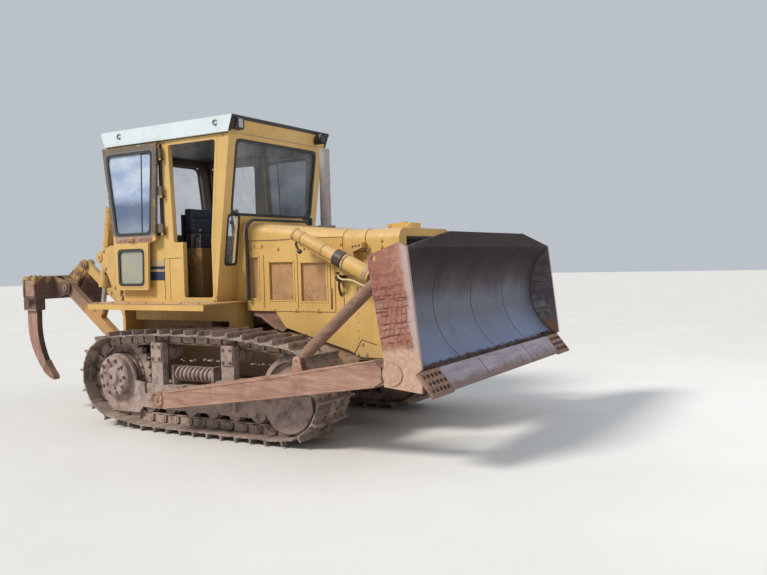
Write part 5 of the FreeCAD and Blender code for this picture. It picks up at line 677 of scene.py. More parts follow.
def rounded(outline, radius, steps=4):
    """Outline with its corners rounded."""
    points = []
    count = len(outline)
    for i, corner in enumerate(outline):
        here = Vector(corner)
        before = (Vector(outline[i - 1]) - here)
        after = (Vector(outline[(i + 1) % count]) - here)
        reach = min(radius / math.tan(before.angle(after) / 2), 0.45 * before.length, 0.45 * after.length)
        first = here + before.normalized() * reach
        last = here + after.normalized() * reach
        for k in range(steps + 1):
            s = k / steps
            points.append(tuple((1 - s) ** 2 * first + 2 * s * (1 - s) * here + s * s * last))
    return points


def plate(x, z, radius, steps=4):
    """Rectangle with rounded corners from (low, high) pairs."""
    return rounded([(x[0], z[1]), (x[1], z[1]), (x[1], z[0]), (x[0], z[0])], radius, steps)


def inset(outline, depth):
    """Outline moved inwards by depth; negative depth moves it outwards."""
    area = sum(a[0] * b[1] - b[0] * a[1] for a, b in zip(outline, outline[1:] + outline[:1]))
    side = math.copysign(1.0, area)
    moved = []
    for before, here, after in zip(outline[-1:] + outline[:-1], outline, outline[1:] + outline[:1]):
        a = (Vector(here) - Vector(before)).normalized()
        b = (Vector(after) - Vector(here)).normalized()
        na, nb = Vector((-a.y, a.x)) * side, Vector((-b.y, b.x)) * side
        middle = na + nb
        moved.append(tuple(Vector(here) + middle * (2 * depth / max(middle.length_squared, 0.4))))
    return moved


def levelled(outline, level, axis):
    """Flat outline as points in space, at one level along an axis."""
    points = [[a, b] for a, b in outline]
    for point in points:
        point.insert(axis, level)
    return points


class Form:
    """A piece drawn in millimetres from the machine's datum; done() makes it an object on a body."""

    def __init__(self):
        self.mesh = bmesh.new()

    def shell(self, corners, faces, place=None):
        points = [self.mesh.verts.new(place @ Vector(corner) if place else corner) for corner in corners]
        for face in faces:
            self.mesh.faces.new([points[i] for i in face])

    def loft(self, rings, closed=False, capped=True, place=None):
        """Skin over rings that have equally many points."""
        count = len(rings[0])
        corners = [point for ring in rings for point in ring]
        faces = []
        for i in range(len(rings) if closed else len(rings) - 1):
            a, b = i * count, (i + 1) % len(rings) * count
            for j in range(count):
                k = (j + 1) % count
                faces.append((a + j, a + k, b + k, b + j))
        if capped and not closed:
            faces.append(tuple(range(count)))
            faces.append(tuple(range(len(corners) - count, len(corners))))
        self.shell(corners, faces, place)

    def prism(self, outline, low, high, axis=1, place=None):
        """Flat outline in the two other axes, thickened along one axis."""
        self.loft([levelled(outline, level, axis) for level in (low, high)], place=place)

    def box(self, x, y, z, place=None):
        self.prism([(x[0], z[0]), (x[1], z[0]), (x[1], z[1]), (x[0], z[1])], y[0], y[1], place=place)

    def band(self, outer, inner, low, high, axis=1, place=None):
        """Flat ring between two outlines of equally many points, thickened along one axis."""
        rings = (outer, low), (outer, high), (inner, high), (inner, low)
        self.loft([levelled(outline, level, axis) for outline, level in rings], closed=True, place=place)

    def turned(self, profile, origin, axis, sides=20, closed=False):
        """Profile of (distance along the axis, radius) spun about it; closed makes a hollow ring."""
        turn = Vector(axis).to_track_quat("Z", "Y").to_matrix().to_4x4()
        rings = [[(x, y, along) for x, y in ring_points(radius, sides)] for along, radius in profile]
        self.loft(rings, closed=closed, place=Matrix.Translation(origin) @ turn)

    def rod(self, start, end, radius, sides=16):
        axis = Vector(end) - Vector(start)
        chamfer = min(2.0, radius * 0.2)
        profile = [(0, radius - chamfer), (chamfer, radius), (axis.length - chamfer, radius),
                   (axis.length, radius - chamfer)]
        self.turned(profile, start, axis, sides)

    def tube(self, line, radius, sides=10, closed=False):
        """Round bar bent along a line of points."""
        points = [Vector(point) for point in line]
        count = len(points)
        ahead = [(points[(i + 1) % count if closed else min(i + 1, count - 1)]
                  - points[i - 1 if closed or i else 0]).normalized() for i in range(count)]
        side = ahead[0].orthogonal().normalized()
        rings = []
        for point, heading in zip(points, ahead):
            side = (side - heading * side.dot(heading)).normalized()
            across = heading.cross(side)
            rings.append([point + side * x + across * y for x, y in ring_points(radius, sides)])
        self.loft(rings, closed=closed)

    def bolt(self, centre, axis, across=28.0, height=16.0):
        """Hexagonal head on a washer, seated at centre."""
        radius = across / math.sqrt(3)
        self.turned([(-2, radius * 1.18), (height * 0.22, radius * 1.18)], centre, axis, 12)
        self.turned([(0, radius), (height * 0.86, radius), (height, radius * 0.84)], centre, axis, 6)

    def bolt_circle(self, centre, axis, radius, count, across=28.0, height=16.0, start=0.0):
        turn = Vector(axis).to_track_quat("Z", "Y")
        for x, y in ring_points(radius, count, start):
            self.bolt(Vector(centre) + turn @ Vector((x, y, 0)), axis, across, height)

    def clod(self, centre, size):
        """Irregular lump of dried mud."""
        lump = bmesh.ops.create_icosphere(self.mesh, subdivisions=2, radius=1.0)
        stretch = [size * CHANCE.uniform(0.6, 1.2) for _ in range(3)]
        stretch[2] *= 0.45
        for point in lump["verts"]:
            bulge = 1 + CHANCE.uniform(-0.22, 0.22)
            point.co = Vector(centre) + Vector([c * s * bulge for c, s in zip(point.co, stretch)])

    def mirror(self):
        """Adds the other side's twin of everything drawn so far."""
        shape = self.mesh.verts[:] + self.mesh.edges[:] + self.mesh.faces[:]
        for item in bmesh.ops.duplicate(self.mesh, geom=shape)["geom"]:
            if isinstance(item, bmesh.types.BMVert):
                item.co.y = -item.co.y
        return self

    def done(self, name, look, body="root", smooth=32.0, hides=()):
        bmesh.ops.recalc_face_normals(self.mesh, faces=self.mesh.faces)
        for point in self.mesh.verts:
            point.co = to_frame(point.co)
        data = bpy.data.meshes.new(name)
        self.mesh.to_mesh(data)
        self.mesh.free()
        data.shade_smooth()
        data.set_sharp_from_angle(angle=math.radians(smooth))
        data.materials.append(LOOK[look])
        piece = bpy.data.objects.new(name, data)
        bpy.context.collection.objects.link(piece)
        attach(piece, body)
        if hides:
            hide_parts(*hides)
        return piece


def forms(count):
    return [Form() for _ in range(count)]


def span(sign, inner, outer):
    """Low and high Y of a slab on one side of the machine."""
    return sorted((sign * inner, sign * outer))


def stepped(radius, *steps):
    """Profile for Form.turned from (distance along the axis, how far beyond the radius) steps."""
    return [(along, radius + beyond) for along, beyond in steps]


# Tracks

BELT_WHEELS = (
    (-860.0, 242.0, 133.0),
    (535.0, 242.0, 133.0),
    (910.0, 477.0, 361.0),
    (262.0, 775.0, 123.0),
    (-648.0, 775.0, 123.0),
    (-1260.0, 507.0, 350.0),
)
LINK_PITCH_AIM = 175.0
TRACK_Y = 950.0
SHOE_HALF = 254.0
SHOE_UNDER = 47.0        # from the pin line out to the shoe's underside
SHOE_OVER = 59.0
GROUSER_TIP = 105.8
RAIL_REACH = 48.0        # from the pin line in to the rail
RAIL_OFFSET = 72.5
RAIL_HALF = 22.5


def belt_pieces():
    """Straights and arcs of the pin line: (length, function of the distance along it)."""
    count = len(BELT_WHEELS)
    normals = []
    for i, (x0, z0, r0) in enumerate(BELT_WHEELS):
        x1, z1, r1 = BELT_WHEELS[(i + 1) % count]
        heading = math.atan2(z1 - z0, x1 - x0)
        normals.append(heading - math.acos((r0 - r1) / math.hypot(x1 - x0, z1 - z0)))
    pieces = []
    for i, (x0, z0, r0) in enumerate(BELT_WHEELS):
        x1, z1, r1 = BELT_WHEELS[(i + 1) % count]
        out = normals[i]
        start = Vector((x0 + r0 * math.cos(out), z0 + r0 * math.sin(out)))
        end = Vector((x1 + r1 * math.cos(out), z1 + r1 * math.sin(out)))
        length = (end - start).length
        pieces.append((length, lambda s, a=start, b=end, n=length: a.lerp(b, s / n)))
        turn = (normals[(i + 1) % count] - out) % math.tau
        pieces.append((r1 * turn, lambda s, x=x1, z=z1, r=r1, t=out: Vector((
            x + r * math.cos(t + s / r), z + r * math.sin(t + s / r)))))
    return pieces


def link_places():
    """Matrix and length of each link: X runs along it, Z points out of the loop."""
    pieces = belt_pieces()
    total = sum(length for length, _ in pieces)
    count = round(total / LINK_PITCH_AIM)
    pins = []
    for i in range(count):
        distance = total * i / count
        for length, place in pieces:
            if distance <= length:
                pins.append(place(distance))
                break
            distance -= length
    places = []
    for pin, after in zip(pins, pins[1:] + pins[:1]):
        along = (after - pin).normalized()
        turn = Matrix(((along.x, 0, along.y), (0, 1, 0), (along.y, 0, -along.x))).to_4x4()
        places.append((Matrix.Translation((pin.x, 0, pin.y)) @ turn, (after - pin).length))
    return places


def shoe_section(length):
    """Shoe plate with its grouser, and the lip that runs under the plate before it."""
    foot, tip = 22.0, 8.0
    return [
        (-35.0, SHOE_UNDER - 7), (2.0, SHOE_UNDER - 6), (10.0, SHOE_UNDER), (length - 4, SHOE_UNDER),
        (length - 4, SHOE_OVER - 3), (length - 9, SHOE_OVER),
        (foot + 30, SHOE_OVER), (foot + 24, SHOE_OVER + 5), (foot + 20, GROUSER_TIP - 3),
        (foot + 17, GROUSER_TIP), (foot + tip, GROUSER_TIP), (foot + tip - 3, GROUSER_TIP - 4),
        (foot + 1, SHOE_OVER + 5), (foot - 4, SHOE_OVER), (8.0, SHOE_OVER),
        (-4.0, SHOE_UNDER + 1), (-35.0, SHOE_UNDER - 1),
    ]


def link_outline(start, end, pin):
    """Side plate from the link's middle round one pin."""
    eye = [(pin + x, z) for x, z in ring_points(43.0, 20)]
    round_end = [point for point in eye if (point[0] - pin) * (start - pin) <= 0.01]
    round_end.sort(key=lambda point: math.atan2(point[1], abs(point[0] - pin)) * (1 if start < end else -1))
    return round_end + [(start, SHOE_UNDER - 1), (start, -34.0)] if start < end else round_end + [
        (start, -34.0), (start, SHOE_UNDER - 1)]


def add_tracks():
    for side, sign in (("left", 1), ("right", -1)):
        middle = sign * TRACK_Y
        shoes, chain, bolts = forms(3)
        for place, length in link_places():
            wobble = Matrix.Rotation(math.radians(CHANCE.uniform(-0.7, 0.7)), 4, "X")
            lean = Matrix.Rotation(math.radians(CHANCE.uniform(-0.5, 0.5)), 4, "Z")
            here = place @ Matrix.Translation((0, middle, 0))
            shoe_place = here @ wobble @ lean
            shoes.prism(shoe_section(length), -SHOE_HALF, SHOE_HALF, place=shoe_place)
            for across in (-RAIL_OFFSET, RAIL_OFFSET):
                inner = across - math.copysign(RAIL_HALF, across)
                outer = across + math.copysign(RAIL_HALF, across)
                rear, front = link_outline(length * 0.62, 0, 0), link_outline(length * 0.40, length, length)
                chain.prism(rear, *sorted((across, inner)), place=here)
                chain.prism(front, *sorted((across, outer)), place=here)
                rail = (-RAIL_REACH, -RAIL_REACH + 16)
                chain.box((6, length - 6), sorted((inner, outer)), rail, place=here)
                for along in (0.42, 0.72):
                    seat = shoe_place @ Vector((length * along, across, SHOE_OVER))
                    bolts.bolt(seat, place.to_3x3() @ Vector((0, 0, 1)), 25.0, 13.0)
                    nut = here @ Vector((length * along, across, 8.0))
                    bolts.bolt(nut, place.to_3x3() @ Vector((0, 0, -1)), 25.0, 12.0)
                pin = here @ Vector((0, outer, 0))
                tip = here @ Vector((0, outer + math.copysign(7.0, across), 0))
                chain.turned([(-RAIL_HALF, 23), (5, 23), (7, 20), (7.0, 9), (4, 8)], pin, tip - pin, 16)
            chain.rod(here @ Vector((0, -RAIL_OFFSET, 0)), here @ Vector((0, RAIL_OFFSET, 0)), 33.0, 14)
        shoes.done("shoes_" + side, "shoe", hides=("track_" + side,))
        chain.done("chain_" + side, "rail")
        bolts.done("shoe_bolts_" + side, "bolt")


# Undercarriage

SPROCKET = (-1260.0, 507.0)
IDLER = (910.0, 477.0)
HUB_FACE_Y = 1150.0
POSTS_X = (-648.0, 262.0)
SPRING_ENDS = (-490.0, 0.0)
SPRING_PLACE = (985.0, 562.0)


def add_springs():
    form = Form()
    y, z = SPRING_PLACE
    start, end = SPRING_ENDS
    coils, radius, wire = 8.5, 62.0, 15.0
    steps = int(coils * 22)
    helix = []
    for i in range(steps + 1):
        turn = math.tau * coils * i / steps
        x = start + wire + (end - start - 2 * wire) * i / steps
        helix.append((x, y + radius * math.cos(turn), z + radius * math.sin(turn)))
    form.tube(helix, wire, 12)
    form.rod((start, y, z), (end, y, z), 34.0, 20)
    for x, ahead in ((start, 1), (end, -1)):
        form.turned([(0, 72), (14, 76), (22, 76), (30, 44)], (x, y, z), (ahead, 0, 0), 32)
    form.mirror()
    form.done("recoil_coils", "spring", hides=("recoil_springs",))


def add_running_gear():
    bolts, rims = forms(2)
    hub = (SPROCKET[0], HUB_FACE_Y, SPROCKET[1])
    outward = (0, 1, 0)
    rims.turned([(-4, 196), (10, 192), (14, 184), (14, 150), (8, 144), (8, 92), (16, 84), (34, 76), (38, 66),
                 (38, 30), (34, 26)], hub, outward, 48)
    bolts.bolt_circle((hub[0], hub[1] + 12, hub[2]), outward, 168, 10, 30, 17)
    bolts.bolt_circle((hub[0], hub[1] + 6, hub[2]), outward, 118, 6, 24, 12, 0.3)
    bolts.bolt((hub[0], hub[1] + 34, hub[2]), outward, 34, 16)
    sprocket_face = (SPROCKET[0], TRACK_Y + 30, SPROCKET[1])
    rims.turned([(-2, 262), (8, 262), (10, 256), (10, 236), (-2, 234)], sprocket_face, outward, 48)
    bolts.bolt_circle((SPROCKET[0], TRACK_Y + 36, SPROCKET[1]), outward, 249, 18, 24, 14)
    idler_face = (IDLER[0], TRACK_Y + 60, IDLER[1])
    rims.turned([(0, 96), (16, 92), (22, 80), (22, 54), (14, 48)], idler_face, outward, 40)
    bolts.bolt_circle((IDLER[0], TRACK_Y + 80, IDLER[1]), outward, 68, 6, 22, 12)
    for x in POSTS_X:
        rims.box((x - 48, x + 86), (HUB_FACE_Y - 6, HUB_FACE_Y + 12), (690, 858))
        for along in (-24, 62):
            for z in (716, 832):
                bolts.bolt((x + along, HUB_FACE_Y + 11, z), outward, 26, 14)
        rims.box((x - 40, x + 78), (HUB_FACE_Y - 70, HUB_FACE_Y + 2), (857, 872))
    for form, name, look in ((rims, "hub_rims", "frame"), (bolts, "undercarriage_bolts", "bolt")):
        form.mirror()
        form.done(name, look)


def add_mud():
    form = Form()
    for sign in (1, -1):
        for _ in range(26):
            x = CHANCE.uniform(-930, 690)
            place = (x, sign * CHANCE.uniform(880, 1130), 700 + CHANCE.uniform(-4, 10))
            form.clod(place, CHANCE.uniform(10, 26))
        for x in POSTS_X:
            for _ in range(7):
                place = (x + CHANCE.uniform(-40, 70), sign * CHANCE.uniform(1060, 1130), 876)
                form.clod(place, CHANCE.uniform(9, 20))
    form.done("mud_clods", "rail", smooth=60)


# Cab

CAB_SIDE_Y = 766.0
CAB_FOOT_Z, CAB_TOP_Z = 1247.0, 2891.0
CAB_FRONT_X = (-185.0, 50.0)      # at the foot and at the top
CAB_REAR_X = (-1500.0, -1710.0)
ROOF_TOP_Z = 3049.0
ROOF_FRONT_X = (64.0, 122.0)      # at the underside and at the top
SQUARE_LAMP_X, ROUND_LAMP_X = 144.0, 182.0
ROOF_HALF = 800.0
DOOR_HINGE = (-850.0, 806.0)
DOOR_FACES = (772.0, 800.0)
REAR_SIDE_WINDOW = [(-1610.0, 2790.0), (-900.0, 2790.0), (-900.0, 1935.0), (-1515.0, 1935.0)]
DOOR_UPPER_WINDOW = [(-768.0, 2790.0), (-82.0, 2790.0), (-196.0, 1945.0), (-708.0, 1945.0)]
DOOR_LOWER_WINDOW = [(-602.0, 1790.0), (-218.0, 1790.0), (-218.0, 1420.0), (-588.0, 1420.0)]
DOOR_WAY = [(-776.0, 2835.0), (-137.0, 2835.0), (-228.0, 1850.0), (-228.0, 1290.0), (-610.0, 1290.0),
            (-610.0, 1850.0), (-735.0, 1850.0)]
SCREEN = [(-655.0, 2835.0), (655.0, 2835.0), (655.0, 2105.0), (-655.0, 2105.0)]
QUARTER = [(525.0, 2105.0), (690.0, 2105.0), (690.0, 1610.0), (525.0, 1610.0)]
REAR_WINDOW = [(-600.0, 2790.0), (600.0, 2790.0), (600.0, 1950.0), (-600.0, 1950.0)]

# A right-hand door standing open is the left-hand one mirrored and turned half round its hinge
OPEN_DOOR = Matrix(((-1, 0, 0, 2 * DOOR_HINGE[0]), (0, 1, 0, -2 * DOOR_HINGE[1]), (0, 0, 1, 0), (0, 0, 0, 1)))


def wall_place(foot_x, top_x):
    """Leaning wall: X points out of it, Y across, Z stays the height."""
    lean = (top_x - foot_x) / (CAB_TOP_Z - CAB_FOOT_Z)
    out = Vector((1, 0, -lean)).normalized()
    base = foot_x - lean * CAB_FOOT_Z
    return Matrix(((out.x, 0, lean, base), (0, 1, 0, 0), (out.z, 0, 1, 0), (0, 0, 0, 1)))


def gasket(form, outline, low, high, axis=1, place=None, radius=60.0, wide=18.0, over=9.0):
    """Rubber round a window: laps over the frame outside and over the pane inside."""
    outer = rounded(inset(outline, -over), radius + over, 6)
    inner = rounded(inset(outline, wide), radius, 6)
    form.band(outer, inner, low, high, axis, place)


def pane_bead(form, outline, low, high, place=None):
    """Narrow metal frame outside a gasket."""
    form.band(rounded(inset(outline, -26), 60, 6), rounded(inset(outline, -8), 50, 6), low, high, 1, place)


def add_door(side, place):
    body = "door_" + side
    rubber_form, frame_form, bar, metal = forms(4)
    inside, outside = DOOR_FACES
    for low, high in ((inside - 4, inside + 9), (outside - 9, outside + 4)):
        gasket(rubber_form, DOOR_UPPER_WINDOW, low, high, place=place)
        gasket(rubber_form, DOOR_LOWER_WINDOW, low, high, place=place, radius=48)
    for low, high in ((inside - 2, inside + 2), (outside - 2, outside + 2)):
        pane_bead(frame_form, DOOR_UPPER_WINDOW, low, high, place)
        pane_bead(metal, DOOR_LOWER_WINDOW, low, high, place)
    sliding = [(-610.0, 2776.0), (-596.0, 2776.0), (-570.0, 1960.0), (-584.0, 1960.0)]
    header = [(-700.0, 2776.0), (-600.0, 2776.0), (-600.0, 2764.0), (-698.0, 2764.0)]
    for bar_outline in (sliding, header):
        rubber_form.prism(bar_outline, inside + 8, outside - 6, place=place)
    lock = rounded([(-730.0, 1926.0), (-176.0, 1926.0), (-182.0, 1862.0), (-730.0, 1862.0)], 8)
    bar.prism(lock, 768.5, 773, place=place)
    for x in (-700, -560, -330, -262):
        bar.turned([(0, 13), (5, 13), (8, 9)], place @ Vector((x, 769, 1894)), (0, -1, 0), 12)
    metal.prism(plate((-470.0, -400.0), (1876.0, 1915.0), 8), 750, 770, place=place)
    bar.tube([place @ Vector(point) for point in (
        (-455, 750, 1896), (-455, 736, 1896), (-440, 730, 1898), (-380, 730, 1908), (-362, 732, 1911))], 7, 8)
    handle = [(-200, 800, 1520), (-200, 822, 1524), (-200, 824, 1540), (-200, 824, 1640), (-200, 822, 1656),
              (-200, 800, 1660)]
    metal.tube([place @ Vector(point) for point in handle], 8, 8)
    metal.prism(plate((-250.0, -190.0), (1850.0, 1930.0), 10), 799, 812, place=place)
    rubber_form.done(body + "_gaskets", "rubber", body)
    frame_form.done(body + "_window_frame", "grey_frame", body)
    bar.done(body + "_lock_bar", "pale_rust", body)
    metal.done(body + "_lower_frame", "cab_yellow", body)


def add_cab_trim():
    rubber_form, yellow, dark, rusty, lines = forms(5)
    for low, high in ((-CAB_SIDE_Y - 1.5, -CAB_SIDE_Y + 8), (CAB_SIDE_Y - 8, CAB_SIDE_Y + 1.5)):
        gasket(rubber_form, REAR_SIDE_WINDOW, low, high, radius=80)
        yellow.band(rounded(inset(DOOR_WAY, -34), 30, 4), rounded(inset(DOOR_WAY, -3), 36, 4), low, high)
    front = wall_place(*CAB_FRONT_X)
    gasket(rubber_form, SCREEN, -6, 4, axis=0, place=front, radius=70)
    gasket(rubber_form, QUARTER, -6, 4, axis=0, place=front, radius=30, wide=14)
    gasket(rubber_form, [(-y, z) for y, z in QUARTER], -6, 4, axis=0, place=front, radius=30, wide=14)
    rear = wall_place(*CAB_REAR_X)
    gasket(rubber_form, REAR_WINDOW, -4, 6, axis=0, place=rear, radius=80)
    for sign in (1, -1):
        side = sign * CAB_SIDE_Y
        dark.box((-1700, 40), sorted((side, side + sign * 3)), (2882, 2889))
        for x, z in ((-830, 2862), (-30, 2866)):
            rusty.turned([(-1, 12), (3, 11), (4, 6)], (x, side, z), (0, sign, 0), 12)
        for x, z in ((-170, 1300), (-1540, 1290)):
            rusty.bolt((x, side, z), (0, sign, 0), 24, 12)
        seal = sorted((side - sign * 2, side + sign * 23))
        rubber_form.box((-881, -867), seal, (1935, 2860))
        lines.tube([(-884, side, 1262), (-884, side, 1688), (-640, side, 1690)], 3, 6)
        lines.tube([(-806, side, 1262), (-806, side, 1684)], 2.5, 6)
        for z in (2000, 2380, 2760):
            x, y = DOOR_HINGE
            yellow.rod((x, sign * y, z - 46), (x, sign * y, z + 46), 11, 14)
    slope = (ROOF_FRONT_X[1] - ROOF_FRONT_X[0]) / (ROOF_TOP_Z - CAB_TOP_Z)

    def roof_x(z, proud=0.0):
        return ROOF_FRONT_X[0] + slope * (z - CAB_TOP_Z) + proud

    fascia = [(roof_x(z, out), z) for z, out in ((2893, 0), (2893, 5), (3018, 5), (3018, 0))]
    yellow.prism(fascia, -ROOF_HALF + 34, ROOF_HALF - 34)
    lip = [(roof_x(z, out), z) for z, out in ((3012, 1), (3012, 12), (3040, 12), (3048, 4), (3048, -2))]
    dark.prism(lip, -ROOF_HALF, ROOF_HALF)
    for sign in (1, -1):
        corner = [(roof_x(z, out), z) for z, out in ((2893, 0), (2893, 8), (3014, 8), (3014, 0))]
        dark.prism(corner, *span(sign, ROOF_HALF - 36, ROOF_HALF - 1))
    # Dark sheet under the roof across the cab's inside: painted shade for the cab's upper inside.
    dark.box((-1620, -30), (-705, 705), (2866, 2888))
    yellow.done("cab_rims", "cab_yellow")
    dark.done("cab_dark_trim_and_painted_shade", "trim")
    rusty.done("cab_bolts", "pale_rust")
    lines.done("cab_seams", "seam")
    rubber_form.done("cab_gaskets", "rubber")


def add_roof_details():
    loops = Form()
    for sign in (1, -1):
        for x in (-1450, -95):
            arc = [(x + 24 * math.cos(a), sign * (ROOF_HALF + 7), 2988 + 24 * math.sin(a))
                   for a in (math.radians(40 + 28 * i) for i in range(11))]
            arc.insert(0, (arc[0][0], sign * (ROOF_HALF - 3), arc[0][2]))
            arc.append((arc[-1][0], sign * (ROOF_HALF - 3), arc[-1][2]))
            loops.tube(arc, 5.5, 8)
    loops.done("roof_loops", "grey_frame")
    ribs = Form()
    for y in (-520, -175, 175, 520):
        ribs.box((-1700, 80), (y - 45, y + 45), (ROOF_TOP_Z - 2, ROOF_TOP_Z - 0.5))
    ribs.done("roof_ribs", "white")
    lamps, panes = forms(2)
    lamps.band(plate((-752.0, -663.0), (2914.0, 3023.0), 16), plate((-742.0, -673.0), (2925.0, 3012.0), 10),
               SQUARE_LAMP_X - 8, SQUARE_LAMP_X + 10, 0)
    panes.prism(plate((-743.0, -672.0), (2924.0, 3013.0), 10), SQUARE_LAMP_X - 4, SQUARE_LAMP_X + 5, 0)
    round_lamp = (ROUND_LAMP_X, 610, 2965)
    lamps.turned([(-22, 57), (-2, 57), (0, 54), (0, 46), (-8, 45)], round_lamp, (1, 0, 0), 32)
    panes.turned([(-20, 46), (-6, 46), (-2, 30), (-0.5, 8)], round_lamp, (1, 0, 0), 32)
    lamps.tube([(40, -707, 3020), (60, -707, 3034), (90, -707, 3034), (100, -707, 3020)], 7, 8)
    lamps.done("lamp_rims", "trim")
    panes.done("lamp_panes", "lamp_glass")


def add_side_bands():
    """Coloured bands on the cab's lower side, without any lettering."""
    bands = ("beige", 1616, 1668), ("navy", 1580, 1612), ("beige", 1560, 1578), ("navy", 1466, 1556)
    for look, low, high in bands:
        form = Form()
        for sign in (1, -1):
            form.box((-1290, -880), span(sign, CAB_SIDE_Y, CAB_SIDE_Y + 1.5), (low, high))
        form.done("side_band_%s_%d" % (look, low), look)


def add_cab_floor_details():
    sill, mat, steps = forms(3)
    for sign in (1, -1):
        sill.box((-690, -200), span(sign, CAB_SIDE_Y - 6, CAB_SIDE_Y + 26), (1249, 1263))
        for i in range(9):
            x = -680 + 54 * i
            steps.box((x, x + 22), span(sign, CAB_SIDE_Y + 2, CAB_SIDE_Y + 22), (1262, 1267))
    mat.prism(plate((-1400.0, -240.0), (-700.0, 700.0), 60), 1246, 1254, 2)
    for i in range(27):
        mat.box((-1375 + 42 * i, -1357 + 42 * i), (-680, 680), (1253, 1257))
    sill.done("door_sills", "pale_yellow")
    steps.done("sill_grips", "pale_yellow")
    mat.done("floor_mat", "rubber")


def add_interior():
    levers, knobs, panel, dials = forms(4)
    for base, top in (((-300, -330, 1500), (-208, -400, 2100)), ((-360, -260, 1500), (-284, -400, 2045)),
                      ((-640, -500, 1790), (-600, -520, 1960)), ((-700, -470, 1790), (-668, -480, 1925))):
        middle = Vector(base).lerp(Vector(top), 0.55) + Vector((-18, 12, 0))
        levers.tube([base, middle, top], 7, 8)
        knobs.turned([(-24, 9), (-14, 19), (4, 23), (18, 17), (26, 6)], top, Vector(top) - middle, 16)
    boss = (-700, -566, 1660)
    panel.turned([(-10, 62), (4, 60), (9, 52), (9, 38), (2, 34), (2, 14), (12, 12)], boss, (0, -1, 0), 28)
    panel.bolt_circle((boss[0], boss[1] - 8, boss[2]), (0, -1, 0), 45, 6, 14, 7)
    panel.box((-1100, -575), (-569, -560), (1262, 1276))
    for x, z in ((-1090, 1770), (-590, 1770), (-1090, 1300), (-590, 1300)):
        panel.bolt((x, -560, z), (0, -1, 0), 18, 8)
    column = Form()
    corners = (-45, -600), (45, -600), (45, -520), (-45, -520)
    column.loft([[(x + dx, y, z) for dx, y in corners]
                 for x, z in ((-330, 1256), (-300, 1700), (-270, 1960), (-266, 1990))])
    column.rod((-300, -604, 1890), (-300, -592, 1890), 26, 20)
    for y, z, r in ((-190, 1800, 46), (-70, 1810, 46), (50, 1810, 46), (170, 1800, 34)):
        dial = [(0, r + 6), (10, r + 6), (12, r), (6, r - 2), (4, 3)]
        dials.turned(dial, (-408, y, z - 30), (-1, 0, 0.2), 24)
    levers.done("levers", "rod")
    knobs.done("lever_knobs", "knob")
    panel.done("console_boss", "console")
    column.done("steering_column", "cab_yellow")
    dials.done("dash_dials", "knob")


# Hood and nose

HULL_SIDE_Y = 500.0
HOOD_CORNER = 100.0
NOSE_TOP_Z = 1905.0
STACK = (440.0, 250.0)
VENTS = ((5.0, 133.0, 1272.0, 1675.0), (275.0, 566.0, 1256.0, 1622.0), (660.0, 952.0, 1246.0, 1610.0))


# Lines of (x, z) along the hood's sides, with radius and number of sides
HOOD_SEAMS = (
    (((515, 1841), (800, 1842), (1146, 1842)), 2.5, 6),
    (((1352, 1701), (1395, 1703), (1421, 1690)), 4.0, 6),
    (((1487, 853), (1335, 893), (1322, 886), (1240, 752), (1139, 742)), 4.0, 8),
    (((1015, 1367), (1013, 1151)), 5.0, 6),
)


def arch_line(x, half, top, low, corner, proud=0.0):
    """Section of the hood as a line from its left foot over the top to its right foot."""
    points = [(x, half + proud, low)]
    for i in range(13):
        angle = math.radians(7.5 * i)
        points.append((x, half - corner + (corner + proud) * math.cos(angle),
                       top - corner + (corner + proud) * math.sin(angle)))
    return points + [(x, -y, z) for _, y, z in reversed(points)]


